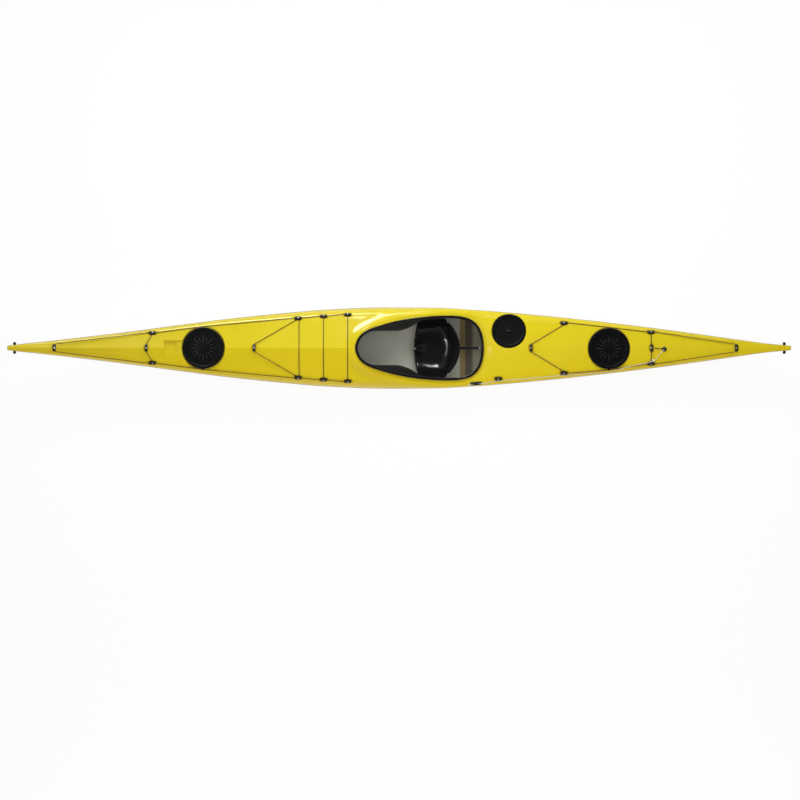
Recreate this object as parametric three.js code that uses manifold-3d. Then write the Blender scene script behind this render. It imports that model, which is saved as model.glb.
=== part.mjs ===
// A composite sea kayak as an assembly: two thin shells, an outside joint band, a coaming with
// thigh braces, bulkheads, seat, hatches, deck fittings, deck lines, foot braces and a drop skeg.
// Millimetres. +X runs aft, +Y to starboard, +Z up, and the keel's flat touches z = 0.
import * as THREE from 'three';
import { mergeVertices } from 'three/addons/utils/BufferGeometryUtils.js';
import Module from 'manifold-3d';

const wasm = await Module();
wasm.setup();

// Driving dimensions of the whole boat
const length = 5380;
const beam = 556;
const sheerLow = 168; // height of the joint line amidships, where it is lowest
const bowRise = 321; // how much higher the joint line ends at the bow
const sternRise = 187; // and at the stern
const crown = 168; // how far the foredeck's ridge stands over the joint line at the cockpit
const shellWall = 4;
const flange = 12; // upright strip of hull and of deck along the joint
const keelFlat = 35; // half the width of the flat along the keel
const clearance = 0.3; // gap between pieces that touch
const overrun = 40; // how far a cutting tool runs past what it cuts

// Driving dimensions of the cockpit
const cockpitFrontShare = 0.44312; // of the boat's length, from the bow
const cockpitRearShare = 0.60799;
const cockpitHalfWidth = 224;
const coamingFrontHeight = 371;
const coamingRearHeight = 231;
const coamingStand = 18; // lip's top over the deck beside it
const coamingFrontStand = 12; // and at the very front, on the ridge
const lipWidth = 14; // how far the lip stands out past the riser
const lipThickness = 6;
const riserThickness = 4;
const riserDepth = 22; // riser below the deck
const collarWidth = 78; // width of the deck's sweep up to the coaming
const braceWidth = 52; // thigh brace at its widest
const braceSlope = 0.35;

// Driving dimensions of the hatches, the same for all three unless named
const hatchFloorWall = 4;
const hatchStack = 36; // cover's top over the recess floor
const rimNeckWall = 4;
const rimLip = 9;
const rimHeight = 24;
const rimFlange = 12;
const rimSpigot = 12;
const skirtThickness = 13;
const coverPlate = 6;

// Driving dimensions of the small gear
const lineRadius = 2.5;
const skegLineRadius = 2;
const fittingLength = 50;
const fittingWidth = 20;
const fittingHeight = 13;
const eyeWidth = 7;
const eyeHeight = 6.4;

const halfBeam = beam / 2;
const halfLength = length / 2;

// A smooth curve through a table of [share, share] rows that never swings past its rows.
function throughRows(rows) {
  const steps = rows.slice(1).map((row, i) => (row[1] - rows[i][1]) / (row[0] - rows[i][0]));
  const slopes = rows.map((row, i) => {
    const before = steps[i - 1] ?? steps[i];
    const after = steps[i] ?? steps[i - 1];
    return before * after > 0 ? (2 * before * after) / (before + after) : 0;
  });
  return (share) => {
    const last = rows.length - 2;
    const found = rows.findIndex((row, i) => i <= last && share <= rows[i + 1][0]);
    const i = found < 0 ? last : found;
    const run = rows[i + 1][0] - rows[i][0];
    const t = Math.min(1, Math.max(0, (share - rows[i][0]) / run));
    const turned = 1 - t;
    return rows[i][1] * (1 + 2 * t) * turned * turned + slopes[i] * run * t * turned * turned
      + rows[i + 1][1] * (1 + 2 * turned) * t * t - slopes[i + 1] * run * turned * t * t;
  };
}

const mix = (a, b, share) => a + (b - a) * share;
const fade = (share) => THREE.MathUtils.smoothstep(share, 0, 1);
const stationX = (station) => (station - 0.5) * length;
const stationOf = (x) => x / length + 0.5;
const cockpitFront = stationX(cockpitFrontShare);
const cockpitLength = stationX(cockpitRearShare) - cockpitFront;
const inCockpit = (share) => cockpitFront + cockpitLength * share;

// Lines of the boat, as shares of the sizes above along shares of its length from the bow
const breadthShares = [
  [0, 0.05], [0.008, 0.072], [0.04, 0.138], [0.09, 0.248], [0.15, 0.388], [0.22, 0.568], [0.28, 0.716],
  [0.35, 0.856], [0.41, 0.95], [0.48, 1], [0.54, 0.995], [0.6, 0.935], [0.67, 0.824], [0.74, 0.687],
  [0.82, 0.504], [0.88, 0.349], [0.935, 0.198], [0.975, 0.0935], [0.994, 0.062], [1, 0.045],
];
const bowRiseShares = [
  [0, 1], [0.03, 0.847], [0.08, 0.653], [0.13, 0.511], [0.18, 0.411], [0.24, 0.318], [0.3, 0.227],
  [0.36, 0.153], [0.42, 0.087], [0.48, 0.031], [0.53, 0.006], [0.58, 0],
];
const sternRiseShares = [
  [0.58, 0], [0.64, 0.033], [0.7, 0.08], [0.76, 0.14], [0.82, 0.22], [0.88, 0.337], [0.92, 0.47],
  [0.95, 0.62], [0.975, 0.8], [1, 1],
];
const bowKeelShares = [
  [0, 0.957], [0.0106, 0.887], [0.045, 0.642], [0.081, 0.385], [0.12, 0.274], [0.185, 0.191], [0.23, 0.135],
  [0.28, 0.108], [0.33, 0.08], [0.38, 0.05], [0.43, 0.02], [0.47, 0],
];
const sternKeelShares = [
  [0.64, 0], [0.69, 0.01], [0.74, 0.03], [0.79, 0.055], [0.84, 0.08], [0.88, 0.101], [0.915, 0.141],
  [0.937, 0.185], [0.953, 0.287], [0.972, 0.55], [0.991, 0.844], [1, 0.955],
];
const crownShares = [
  [0, 0.14], [0.03, 0.28], [0.08, 0.45], [0.13, 0.555], [0.18, 0.585], [0.22, 0.59], [0.28, 0.665],
  [0.34, 0.82], [0.4, 0.94], [0.435, 1], [0.46, 0.985], [0.49, 0.8], [0.52, 0.66], [0.56, 0.49],
  [0.6, 0.39], [0.63, 0.415], [0.66, 0.445], [0.7, 0.435], [0.76, 0.395], [0.82, 0.36], [0.88, 0.315],
  [0.935, 0.215], [0.975, 0.165], [1, 0.12],
];
const foreSectionShares = [
  [0, 1], [0.3, 0.82], [0.6, 0.645], [0.8, 0.53], [0.88, 0.44], [0.94, 0.29], [0.98, 0.12], [1, 0],
];
const aftSectionShares = [
  [0, 1], [0.3, 0.91], [0.6, 0.79], [0.8, 0.66], [0.88, 0.54], [0.94, 0.36], [0.98, 0.15], [1, 0],
];
const aftDeckShares = [[0.46, 0], [0.6, 1]];
const breadthAt = throughRows(breadthShares);
const bowRiseAt = throughRows(bowRiseShares);
const sternRiseAt = throughRows(sternRiseShares);
const bowKeelAt = throughRows(bowKeelShares);
const sternKeelAt = throughRows(sternKeelShares);
const crownAt = throughRows(crownShares);
const foreSectionAt = throughRows(foreSectionShares);
const aftSectionAt = throughRows(aftSectionShares);
const aftDeckAt = throughRows(aftDeckShares);

// Stations where both shells have a section, close together at the stems
const hullStations = [
  0, 0.004, 0.0106, 0.025, 0.045, 0.065, 0.081, 0.1, 0.125, 0.155, 0.19, 0.23, 0.27, 0.31, 0.35, 0.39,
  0.43, 0.47, 0.51, 0.55, 0.59, 0.64, 0.69, 0.74, 0.79, 0.84, 0.88, 0.915, 0.937, 0.953, 0.972, 0.986,
  0.994, 1,
];

// The joint runs straight from one of these stations to the next, so hull, deck and band agree on it.
function alongChords(curve) {
  return (station) => {
    const i = Math.max(0, hullStations.findLastIndex((from) => from <= station));
    const from = hullStations[Math.min(i, hullStations.length - 2)];
    const to = hullStations[Math.min(i, hullStations.length - 2) + 1];
    return mix(curve(from), curve(to), (station - from) / (to - from));
  };
}
const halfBreadth = alongChords((station) => halfBeam * breadthAt(station));
const sheer = alongChords((station) => sheerLow + (station < bowRiseShares.at(-1)[0]
  ? bowRise * bowRiseAt(station) : sternRise * sternRiseAt(station)));
function keel(station) {
  if (station < bowKeelShares.at(-1)[0]) return (sheerLow + bowRise) * bowKeelAt(station);
  return station > sternKeelShares[0][0] ? (sheerLow + sternRise) * sternKeelAt(station) : 0;
}

// The coaming's outline in plan, from shares of the cockpit's length and half width
const outlineShares = [
  [0, 0], [0.012, 0.21], [0.045, 0.41], [0.1, 0.56], [0.19, 0.69], [0.3, 0.81], [0.42, 0.905],
  [0.56, 0.97], [0.71, 1], [0.82, 0.975], [0.9, 0.88], [0.955, 0.69], [0.988, 0.4], [1, 0],
];
const outlineSteps = 48;
function outlineAt(sideShare, alongShare) {
  return new THREE.Vector3(cockpitFront + cockpitLength * alongShare, cockpitHalfWidth * sideShare, 0);
}
const outline = new THREE.CatmullRomCurve3([
  ...outlineShares.map(([along, side]) => outlineAt(side, along)),
  ...outlineShares.slice(1, -1).reverse().map(([along, side]) => outlineAt(-side, along)),
], true, 'centripetal');
const outlinePoints = outline.getSpacedPoints(outlineSteps).slice(0, outlineSteps);
const outlineNormals = outlinePoints.map((_, i) => {
  const tangent = outline.getTangentAt(i / outlineSteps);
  return new THREE.Vector3(-tangent.y, tangent.x, 0).normalize();
});

// The coaming's height and the thigh braces along shares of the cockpit's length
const coamingHeightShares = [
  [0, 1], [0.075, 0.88], [0.187, 0.65], [0.28, 0.465], [0.358, 0.33], [0.56, 0.185], [0.753, 0.065],
  [0.913, 0.007], [1, 0],
];
const standShares = [[0, 0], [0.12, 1], [1, 1]];
const braceShares = [
  [0, 0], [0.1, 0.02], [0.195, 0.44], [0.27, 0.8], [0.33, 1], [0.39, 0.92], [0.443, 0.62], [0.5, 0.2],
  [0.53, 0], [1, 0],
];
const coamingHeightAt = throughRows(coamingHeightShares);
const standAt = throughRows(standShares);
const braceAt = throughRows(braceShares);
const alongCockpit = (x) => Math.min(1, Math.max(0, (x - cockpitFront) / cockpitLength));
const coamingTop = (x) => mix(coamingRearHeight, coamingFrontHeight, coamingHeightAt(alongCockpit(x)));
const coamingBase = (x) => coamingTop(x) - mix(coamingFrontStand, coamingStand, standAt(alongCockpit(x)));

// How far a point lies outside the coaming's outline, and 0 inside it
function outsideCoaming(x, y) {
  let nearest = Infinity;
  let inside = false;
  outlinePoints.forEach((a, i) => {
    const b = outlinePoints[(i + 1) % outlineSteps];
    const along = THREE.MathUtils.clamp(
      ((x - a.x) * (b.x - a.x) + (y - a.y) * (b.y - a.y)) / ((b.x - a.x) ** 2 + (b.y - a.y) ** 2), 0, 1);
    nearest = Math.min(nearest, Math.hypot(x - mix(a.x, b.x, along), y - mix(a.y, b.y, along)));
    if (a.y > y !== b.y > y && x < mix(a.x, b.x, (y - a.y) / (b.y - a.y))) inside = !inside;
  });
  return inside ? 0 : nearest;
}

// Height of the deck's outer skin: a ridged foredeck that turns into a flatter afterdeck, swept up
// in a collar to the coaming
function deckHeight(station, side) {
  const section = mix(foreSectionAt(side), aftSectionAt(side), aftDeckAt(station));
  const plain = sheer(station) + flange + (crown * crownAt(station) - flange) * Math.max(0, section);
  const x = stationX(station);
  const gap = outsideCoaming(x, halfBreadth(station) * side);
  return mix(coamingBase(x), plain, fade(gap / collarWidth));
}

// Solids are joined and cut as closed meshes and come back as plain geometry.
function solidOf(geometry) {
  const bare = new THREE.BufferGeometry();
  const source = geometry.index ? geometry.toNonIndexed() : geometry;
  bare.setAttribute('position', source.getAttribute('position').clone());
  const merged = mergeVertices(bare);
  return new wasm.Manifold(new wasm.Mesh({
    numProp: 3,
    vertProperties: new Float32Array(merged.attributes.position.array),
    triVerts: new Uint32Array(merged.index.array),
  }));
}
function geometryOf(solid) {
  const mesh = solid.getMesh();
  const geometry = new THREE.BufferGeometry();
  geometry.setAttribute('position', new THREE.BufferAttribute(new Float32Array(mesh.vertProperties), 3));
  geometry.setIndex(new THREE.BufferAttribute(new Uint32Array(mesh.triVerts), 1));
  const flat = geometry.toNonIndexed();
  flat.computeVertexNormals();
  return flat;
}

// A skin through a row of rings of equal count, closed into a loop or capped at both ends
function skinOver(rings, looped = false) {
  const count = rings[0].length;
  const corners = [];
  const face = (...points) => points.forEach((point) => corners.push(point.x, point.y, point.z));
  const spans = looped ? rings.length : rings.length - 1;
  for (let i = 0; i < spans; i += 1) {
    const from = rings[i];
    const to = rings[(i + 1) % rings.length];
    for (let j = 0; j < count; j += 1) {
      const k = (j + 1) % count;
      face(from[j], to[j], to[k]);
      face(from[j], to[k], from[k]);
    }
  }
  if (!looped) {
    const flat = rings[0].map((point) => new THREE.Vector2(point.y, point.z));
    const [front, back] = THREE.ShapeUtils.isClockWise(flat)
      ? [rings.at(-1), rings[0]] : [rings[0], rings.at(-1)];
    THREE.ShapeUtils.triangulateShape(flat, []).forEach(([a, b, c]) => {
      face(front[a], front[b], front[c]);
      face(back[a], back[c], back[b]);
    });
  }
  const geometry = new THREE.BufferGeometry();
  geometry.setAttribute('position', new THREE.Float32BufferAttribute(corners, 3));
  const solid = solidOf(geometry);
  return solid.volume() < 0 ? turned(geometry) : solid;
}
function turned(geometry) {
  const array = geometry.getAttribute('position').array;
  const reversed = new Float32Array(array.length);
  for (let i = 0; i < array.length; i += 9) {
    reversed.set(array.slice(i, i + 3), i);
    reversed.set(array.slice(i + 6, i + 9), i + 3);
    reversed.set(array.slice(i + 3, i + 6), i + 6);
  }
  const geometryTurned = new THREE.BufferGeometry();
  geometryTurned.setAttribute('position', new THREE.BufferAttribute(reversed, 3));
  return solidOf(geometryTurned);
}

// The deck has more sections round the cockpit.
const cockpitStations = [0.42, 0.44, 0.45, 0.46, 0.483, 0.497, 0.53, 0.57, 0.602, 0.612, 0.625];
const deckStations = [...new Set([...hullStations, ...cockpitStations])].sort((a, b) => a - b);
const deckSides = [0, 0.2, 0.4, 0.6, 0.74, 0.84, 0.91, 0.965, 1];
const bilgeSteps = 4;

// Half a hull section from the keel to the joint: keel flat, curved bilge, upright flange
function hullHalf(station, wall) {
  const breadth = halfBreadth(station) - wall;
  const low = keel(station) + wall;
  const top = sheer(station);
  const rise = top - flange - low;
  const sharp = 1 - breadthAt(station) ** 0.8;
  const flat = Math.min(keelFlat * breadthAt(station) ** 2, breadth / 3);
  const bilge = new THREE.CubicBezierCurve(
    new THREE.Vector2(flat, low),
    new THREE.Vector2(mix(flat, breadth, mix(0.66, 0.35, sharp)), low + rise * mix(0.04, 0.24, sharp)),
    new THREE.Vector2(breadth * mix(1, 0.8, sharp), low + rise * mix(0.22, 0.64, sharp)),
    new THREE.Vector2(breadth, top - flange));
  return [new THREE.Vector2(0, low), ...bilge.getPoints(bilgeSteps)];
}

// The space inside the hull's skin, or the whole hull when wall is 0, up to a given height over the joint
function hullVolume(wall, over, stations = hullStations) {
  return skinOver(stations.map((station) => {
    const half = hullHalf(station, wall);
    const top = new THREE.Vector2(half.at(-1).x, sheer(station) + over);
    const right = [...half, top];
    const left = right.slice(1).reverse().map((point) => new THREE.Vector2(-point.x, point.y));
    return [...right, ...left].map((point) => new THREE.Vector3(stationX(station), point.x, point.y));
  }));
}

// The space under the deck's skin, from a given height under the joint
function deckVolume(wall, under, stations = deckStations) {
  return skinOver(stations.map((station) => {
    const breadth = halfBreadth(station) - wall;
    const right = deckSides.map((side) => new THREE.Vector2(
      breadth * side, Math.max(deckHeight(station, side) - wall, sheer(station) - under + Math.abs(wall))));
    right.push(new THREE.Vector2(breadth, sheer(station) - under));
    const left = right.slice(1).reverse().map((point) => new THREE.Vector2(-point.x, point.y));
    return [...right, ...left].map((point) => new THREE.Vector3(stationX(station), point.x, point.y));
  }));
}

// Shells: the ends are filled solid, so the inner space stops short of the tips
const endFill = 0.019;
const innerHullStations = hullStations.filter((station) => station > endFill && station < 1 - endFill);
const innerDeckStations = deckStations.filter((station) => station > endFill && station < 1 - endFill);
const deckOuter = deckVolume(0, -clearance / 2);
const deckKeepOut = deckVolume(-clearance, flange);
const deckInner = deckVolume(shellWall, flange, innerDeckStations);
const hullOuter = hullVolume(0, -clearance / 2);
const hullKeepOut = hullVolume(-clearance, flange);
const hullInner = hullVolume(shellWall, flange, innerHullStations);

const roundSides = 24; // facets of every round piece that another fits

// Tools for round and flat cuts, placed in the boat's frame
function rod(radius, from, to, sides = 24) {
  const along = new THREE.Vector3().subVectors(to, from);
  const geometry = new THREE.CylinderGeometry(radius, radius, along.length(), sides);
  const turn = new THREE.Quaternion().setFromUnitVectors(
    new THREE.Vector3(0, 1, 0), along.clone().normalize());
  geometry.applyQuaternion(turn);
  geometry.translate(...new THREE.Vector3().addVectors(from, to).multiplyScalar(0.5).toArray());
  return solidOf(geometry);
}
function block(low, high) {
  const size = new THREE.Vector3().subVectors(high, low);
  const geometry = new THREE.BoxGeometry(size.x, size.y, size.z);
  geometry.translate(...new THREE.Vector3().addVectors(low, high).multiplyScalar(0.5).toArray());
  return solidOf(geometry);
}
function placed(geometry, matrix) {
  return solidOf(geometry.clone().applyMatrix4(matrix));
}

// The three hatches: a recess in the deck with a level floor, a rim with a lip, a rubber cover
const frontHatchSink = 48.94; // recess floor below the deck's skin at the hatch's centre
const rearHatchSink = 30.1;
const dayHatchSink = 37.92;
const frontHatchMargin = 8; // recess round the cover
const rearHatchMargin = 6;
const dayHatchMargin = 4;
function hatchAt({ station, side, sink, radiusShare, margin, tilt, ribs }) {
  const radius = halfBeam * radiusShare;
  return {
    x: stationX(station),
    y: halfBreadth(station) * side,
    floor: deckHeight(station, side) - sink,
    radius,
    recess: radius + margin,
    tilt,
    ribs,
  };
}
const frontHatch = hatchAt({
  station: 0.24907, side: 0, sink: frontHatchSink, radiusShare: 0.5108, margin: frontHatchMargin,
  tilt: 0, ribs: 16,
});
const rearHatch = hatchAt({
  station: 0.76803, side: -0.023, sink: rearHatchSink, radiusShare: 0.5072, margin: rearHatchMargin,
  tilt: 0, ribs: 16,
});
const dayHatch = hatchAt({
  station: 0.63996, side: 0.4641, sink: dayHatchSink, radiusShare: 0.4173, margin: dayHatchMargin,
  tilt: 9, ribs: 0,
});
const hatches = { front: frontHatch, rear: rearHatch, day: dayHatch };
function hatchFrame(hatch) {
  return new THREE.Matrix4().makeTranslation(hatch.x, hatch.y, hatch.floor).multiply(
    new THREE.Matrix4().makeRotationX(-THREE.MathUtils.degToRad(hatch.tilt)));
}
const rimOuter = (hatch) => hatch.radius - skirtThickness - rimLip - clearance;
const neckOuter = (hatch) => rimOuter(hatch) - rimLip;
function hatchRod(hatch, radius, low, high) {
  const geometry = new THREE.CylinderGeometry(radius, radius, high - low, roundSides);
  geometry.rotateX(Math.PI / 2);
  geometry.translate(0, 0, (high + low) / 2);
  return placed(geometry, hatchFrame(hatch));
}

// The compass recess in the foredeck's ridge, open aft into the front hatch's recess
const compassFront = stationX(0.1987);
const compassRear = stationX(0.22677);
const compassHalfWidth = 52;
const compassDish = { station: 0.20874, radius: 42, depth: 8 };
const compassSink = 31.92; // floor of the recess below the deck's ridge
const compassFloor = deckHeight(compassDish.station, 0) - compassSink;

// Height of the faceted deck under a point, found by a ray straight down
const deckTop = new THREE.Mesh(geometryOf(deckOuter), new THREE.MeshBasicMaterial());
const ray = new THREE.Raycaster();
const skyHeight = (sheerLow + bowRise) * 2;
function deckAt(x, y) {
  ray.set(new THREE.Vector3(x, y, skyHeight), new THREE.Vector3(0, 0, -1));
  return ray.intersectObject(deckTop)[0].point.z;
}

// A place on the deck: a station and a side from -1 at the port edge to 1 at the starboard edge
const spot = (station, side, heading = 0) => ({
  x: stationX(station), y: halfBreadth(station) * side, heading,
});

// The hole in the deck for the skeg's line
const skegLineHole = { ...spot(0.83885, -0.063), radius: 5 };

function makeHull() {
  const toggleHole = (x, z) => rod(toggleBore, new THREE.Vector3(x, -overrun, z),
    new THREE.Vector3(x, overrun, z), 12);
  let hull = hullOuter.subtract(hullInner);
  hull = hull.subtract(toggleHole(bowToggle.x, bowToggle.z));
  hull = hull.subtract(toggleHole(sternToggle.x, sternToggle.z));
  hull = hull.subtract(block(
    new THREE.Vector3(skegSlotFront, -skegSlotWidth / 2, -overrun),
    new THREE.Vector3(skegSlotRear, skegSlotWidth / 2, sheerLow / 2)));
  braceBolts().forEach(({ inside, outside }) => {
    hull = hull.subtract(rod(boltRadius + clearance, inside, outside, 12));
  });
  return hull;
}

function makeDeck() {
  let deck = deckOuter.subtract(deckInner);
  Object.values(hatches).forEach((hatch) => {
    const cup = hatchRod(hatch, hatch.recess + hatchFloorWall, -hatchFloorWall, hatchStack + overrun);
    deck = deck.add(cup.intersect(deckOuter));
  });
  const compassCup = block(
    new THREE.Vector3(compassFront - shellWall, -compassHalfWidth - shellWall,
      compassFloor - compassDish.depth - shellWall),
    new THREE.Vector3(compassRear, compassHalfWidth + shellWall, compassFloor + overrun));
  deck = deck.add(compassCup.intersect(deckOuter));
  Object.values(hatches).forEach((hatch) => {
    deck = deck.subtract(hatchRod(hatch, hatch.recess, 0, hatchStack + overrun));
    deck = deck.subtract(hatchRod(hatch, neckOuter(hatch) + clearance, -overrun, overrun));
  });
  deck = deck.subtract(block(
    new THREE.Vector3(compassFront, -compassHalfWidth, compassFloor),
    new THREE.Vector3(compassRear, compassHalfWidth, compassFloor + overrun)));
  deck = deck.subtract(rod(compassDish.radius,
    new THREE.Vector3(stationX(compassDish.station), 0, compassFloor - compassDish.depth),
    new THREE.Vector3(stationX(compassDish.station), 0, compassFloor + overrun), 28));
  deck = deck.subtract(rod(skegLineHole.radius,
    new THREE.Vector3(skegLineHole.x, skegLineHole.y, sheerLow),
    new THREE.Vector3(skegLineHole.x, skegLineHole.y, skyHeight), 12));
  const opening = new THREE.Shape(outlinePoints.map((point, i) => {
    const edge = point.clone().addScaledVector(outlineNormals[i], -(lipWidth - clearance));
    return new THREE.Vector2(edge.x, edge.y);
  }));
  const tool = new THREE.ExtrudeGeometry(opening, { depth: skyHeight, bevelEnabled: false });
  return deck.subtract(solidOf(tool));
}

// The band over the joint outside, a closed ring round the boat
const bandThickness = 1.6;
const bandHalfHeight = 12;
function makeBand() {
  const sides = hullStations.map((station) => ({
    x: stationX(station), y: halfBreadth(station), z: sheer(station),
  }));
  const path = [...sides, ...sides.slice().reverse().map(({ x, y, z }) => ({ x, y: -y, z }))];
  const rings = path.map(({ x, y, z }) => {
    const end = Math.abs(x) > halfLength - clearance ? Math.sign(x) : 0;
    return [[clearance, -1], [clearance + bandThickness, -1], [clearance + bandThickness, 1], [clearance, 1]]
      .map(([out, up]) => new THREE.Vector3(x + end * out, y + Math.sign(y) * out, z + up * bandHalfHeight));
  });
  return skinOver(rings, true);
}

// The coaming: lip, riser and thigh braces in one moulding, as a section that follows the outline
function makeCoaming() {
  const bend = 2;
  return skinOver(outlinePoints.map((point, i) => {
    const top = coamingTop(point.x);
    const brace = Math.max(bend / 4, braceWidth * braceAt(alongCockpit(point.x)));
    const drop = brace * braceSlope;
    const foot = coamingTop(point.x) - coamingBase(point.x) + riserDepth;
    const inner = lipWidth + riserThickness;
    return [
      [0, lipThickness], [0, bend], [bend, 0], [inner - bend, 0], [inner, bend],
      [inner + brace, bend + drop], [inner + brace, bend + drop + riserThickness],
      [inner, bend + riserThickness * 1.2], [inner, foot], [lipWidth, foot], [lipWidth, lipThickness],
    ].map(([inward, down]) => new THREE.Vector3(
      point.x - outlineNormals[i].x * inward, point.y - outlineNormals[i].y * inward, top - down));
  }), true);
}

// A hatch's rim and cover in the hatch's own frame, turned about its upright axis
function lathed(profile, sides) {
  const geometry = new THREE.LatheGeometry(profile.map(([r, z]) => new THREE.Vector2(r, z)), sides);
  geometry.rotateX(Math.PI / 2);
  return geometry;
}
function makeRim(hatch) {
  const outer = neckOuter(hatch);
  const bore = outer - rimNeckWall;
  const lip = rimOuter(hatch);
  const base = clearance;
  return lathed([
    [bore, -rimSpigot], [outer, -rimSpigot], [outer, base], [outer + rimFlange, base],
    [outer + rimFlange, base + rimNeckWall], [outer, base + rimNeckWall], [outer, rimHeight - rimNeckWall],
    [lip, rimHeight - rimNeckWall], [lip, rimHeight], [bore, rimHeight], [bore, -rimSpigot],
  ], roundSides);
}
function makeCover(hatch) {
  const inner = hatch.radius - skirtThickness;
  const under = rimHeight + clearance;
  const plate = under + coverPlate;
  const skirtFoot = rimNeckWall + clearance * 3;
  const round = skirtThickness / 4;
  const boss = hatch.radius * 0.14;
  const cover = lathed([
    [0, under], [inner, under], [inner, skirtFoot], [hatch.radius - round, skirtFoot],
    [hatch.radius, skirtFoot + round], [hatch.radius, hatchStack - round],
    [hatch.radius - round, hatchStack], [inner - round, hatchStack], [inner - round * 2, plate],
    [boss + round, plate], [boss, plate + round], [0, plate + round],
  ], roundSides);
  let solid = solidOf(cover);
  for (let i = 0; i < hatch.ribs; i += 1) {
    const reach = i % 2 ? 0.62 : 0.52;
    const rib = new THREE.BoxGeometry(hatch.radius * (reach - 0.2), round, round);
    rib.translate(hatch.radius * (reach + 0.2) / 2, 0, plate);
    rib.rotateZ((i * 2 * Math.PI) / hatch.ribs);
    solid = solid.add(solidOf(rib));
  }
  if (!hatch.ribs) return solid;
  const tab = new THREE.BoxGeometry(round * 5, round * 5, round);
  tab.translate(0, -hatch.radius - round, hatchStack / 2);
  return solid.add(solidOf(tab));
}

// Bulkheads are slabs cut to the space inside the shells, less the clearance
const bulkheadThickness = 8;
const frontBulkheadX = stationX(0.29387);
const cockpitBulkheadX = stationX(0.61115);
const dayBulkheadX = stationX(0.66877);
const fitHull = hullVolume(shellWall + clearance * 2, flange / 3, innerHullStations);
const fitDeck = deckVolume(shellWall + clearance * 2, flange / 3, innerDeckStations);
function makeBulkhead(x) {
  const slab = block(new THREE.Vector3(x - bulkheadThickness / 2, -beam, -overrun),
    new THREE.Vector3(x + bulkheadThickness / 2, beam, skyHeight));
  const cup = hatchRod(dayHatch, dayHatch.recess + hatchFloorWall + clearance * 2,
    -hatchFloorWall - clearance * 2, hatchStack + overrun);
  return slab.intersect(fitHull.add(fitDeck)).subtract(cup);
}

// The seat: a moulded bucket hung by its cheeks from the coaming's riser
const seatFront = inCockpit(0.4575);
const seatRear = inCockpit(0.76437);
const seatWall = 4;
const seatFloor = 34;
const seatFrontLift = 12;
const seatFrontBow = 27; // how far aft the front edge's ends stand from its middle
const seatBackHeight = 84;
const seatTopDrop = 2; // cheek's top edge below the deck
const riserCorners = outlinePoints.map((point, i) => point.clone()
  .addScaledVector(outlineNormals[i], -lipWidth - riserThickness));
function riserInside(x) {
  const crossings = riserCorners.map((a, i) => {
    const b = riserCorners[(i + 1) % outlineSteps];
    return a.x <= x !== b.x <= x ? Math.abs(mix(a.y, b.y, (x - a.x) / (b.x - a.x))) : Infinity;
  });
  return Math.min(...crossings);
}
const seatShares = [0, 0.12, 0.3, 0.5, 0.68, 0.82, 0.93, 1];
const seatLiftShares = [
  [0, 0.1], [0.12, 0.02], [0.3, 0], [0.5, 0.03], [0.68, 0.1], [0.82, 0.32], [0.93, 0.72], [1, 1],
];
const seatLiftAt = throughRows(seatLiftShares);
const cheekRows = [
  [0, 0], [0.25, 0.01], [0.5, 0.04], [0.7, 0.12], [0.84, 0.3], [0.94, 0.6], [1, 1],
];
function makeSeat() {
  return skinOver(seatShares.map((along) => {
    const floor = seatFloor + (seatBackHeight - seatFloor) * seatLiftAt(along) + seatFrontLift * (1 - along);
    const outer = cheekRows.map(([side, up]) => {
      const x = mix(seatFront, seatRear, along) + seatFrontBow * side * side * (1 - along);
      const top = coamingBase(x) - seatTopDrop;
      return new THREE.Vector3(x, (riserInside(x) - clearance) * side, mix(floor, top, up));
    });
    const inner = outer.map((point, i) => new THREE.Vector3(
      point.x, Math.max(0, point.y - seatWall * cheekRows[i][0]),
      i === outer.length - 1 ? point.z : point.z + seatWall));
    const right = [...outer, ...inner.slice().reverse()];
    const left = [...inner.slice(1), ...outer.slice(1).reverse()].map(
      (point) => new THREE.Vector3(point.x, -point.y, point.z));
    return [...right, ...left];
  }));
}

// The back band: a padded strap bent round behind the paddler, its lower edge forward of the upper
const bandPadCentre = inCockpit(0.81172);
const bandPadForward = 72;
const bandPadLean = 56; // how far the lower edge stands forward of the upper one
const bandPadSideRoom = 52; // from each end to the coaming's widest
const bandPadHalfWidth = cockpitHalfWidth - bandPadSideRoom;
const bandPadThickness = 18;
const bandPadHeight = 132;
const bandPadLow = 104;
const bandFaceShare = 0.48; // half the pad's thickness where it is full
const bandEdgeShare = 0.28;
const bandRimShares = [
  [-1, bandEdgeShare], [-0.6, bandFaceShare], [0.6, bandFaceShare], [1, bandEdgeShare], [1, -bandEdgeShare],
  [0.6, -bandFaceShare], [-0.6, -bandFaceShare], [-1, -bandEdgeShare],
];
// Middle of the pad's thickness, at a share of its half width and from its lower edge, -1, to its upper, 1
function bandPadX(share, up) {
  const bend = bandPadForward * share * share;
  return bandPadCentre - bend - (bandPadLean * (1 - up) * (1 - share * share * 0.5)) / 2;
}
function makeBackBand() {
  const steps = 12;
  const rings = [];
  for (let i = 0; i <= steps; i += 1) {
    const share = (i / steps) * 2 - 1;
    const y = bandPadHalfWidth * share;
    const taper = 1 - 0.45 * Math.abs(share) ** 3;
    const half = (bandPadHeight / 2) * taper;
    const middle = bandPadLow + bandPadHeight / 2;
    const lean = new THREE.Vector2(1, (2 * bandPadForward * share) / bandPadHalfWidth).normalize();
    rings.push(bandRimShares.map(([up, out]) => new THREE.Vector3(
      bandPadX(share, up) - lean.x * bandPadThickness * out, y - lean.y * bandPadThickness * out,
      middle + half * up)));
  }
  return skinAcross(rings);
}

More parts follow.
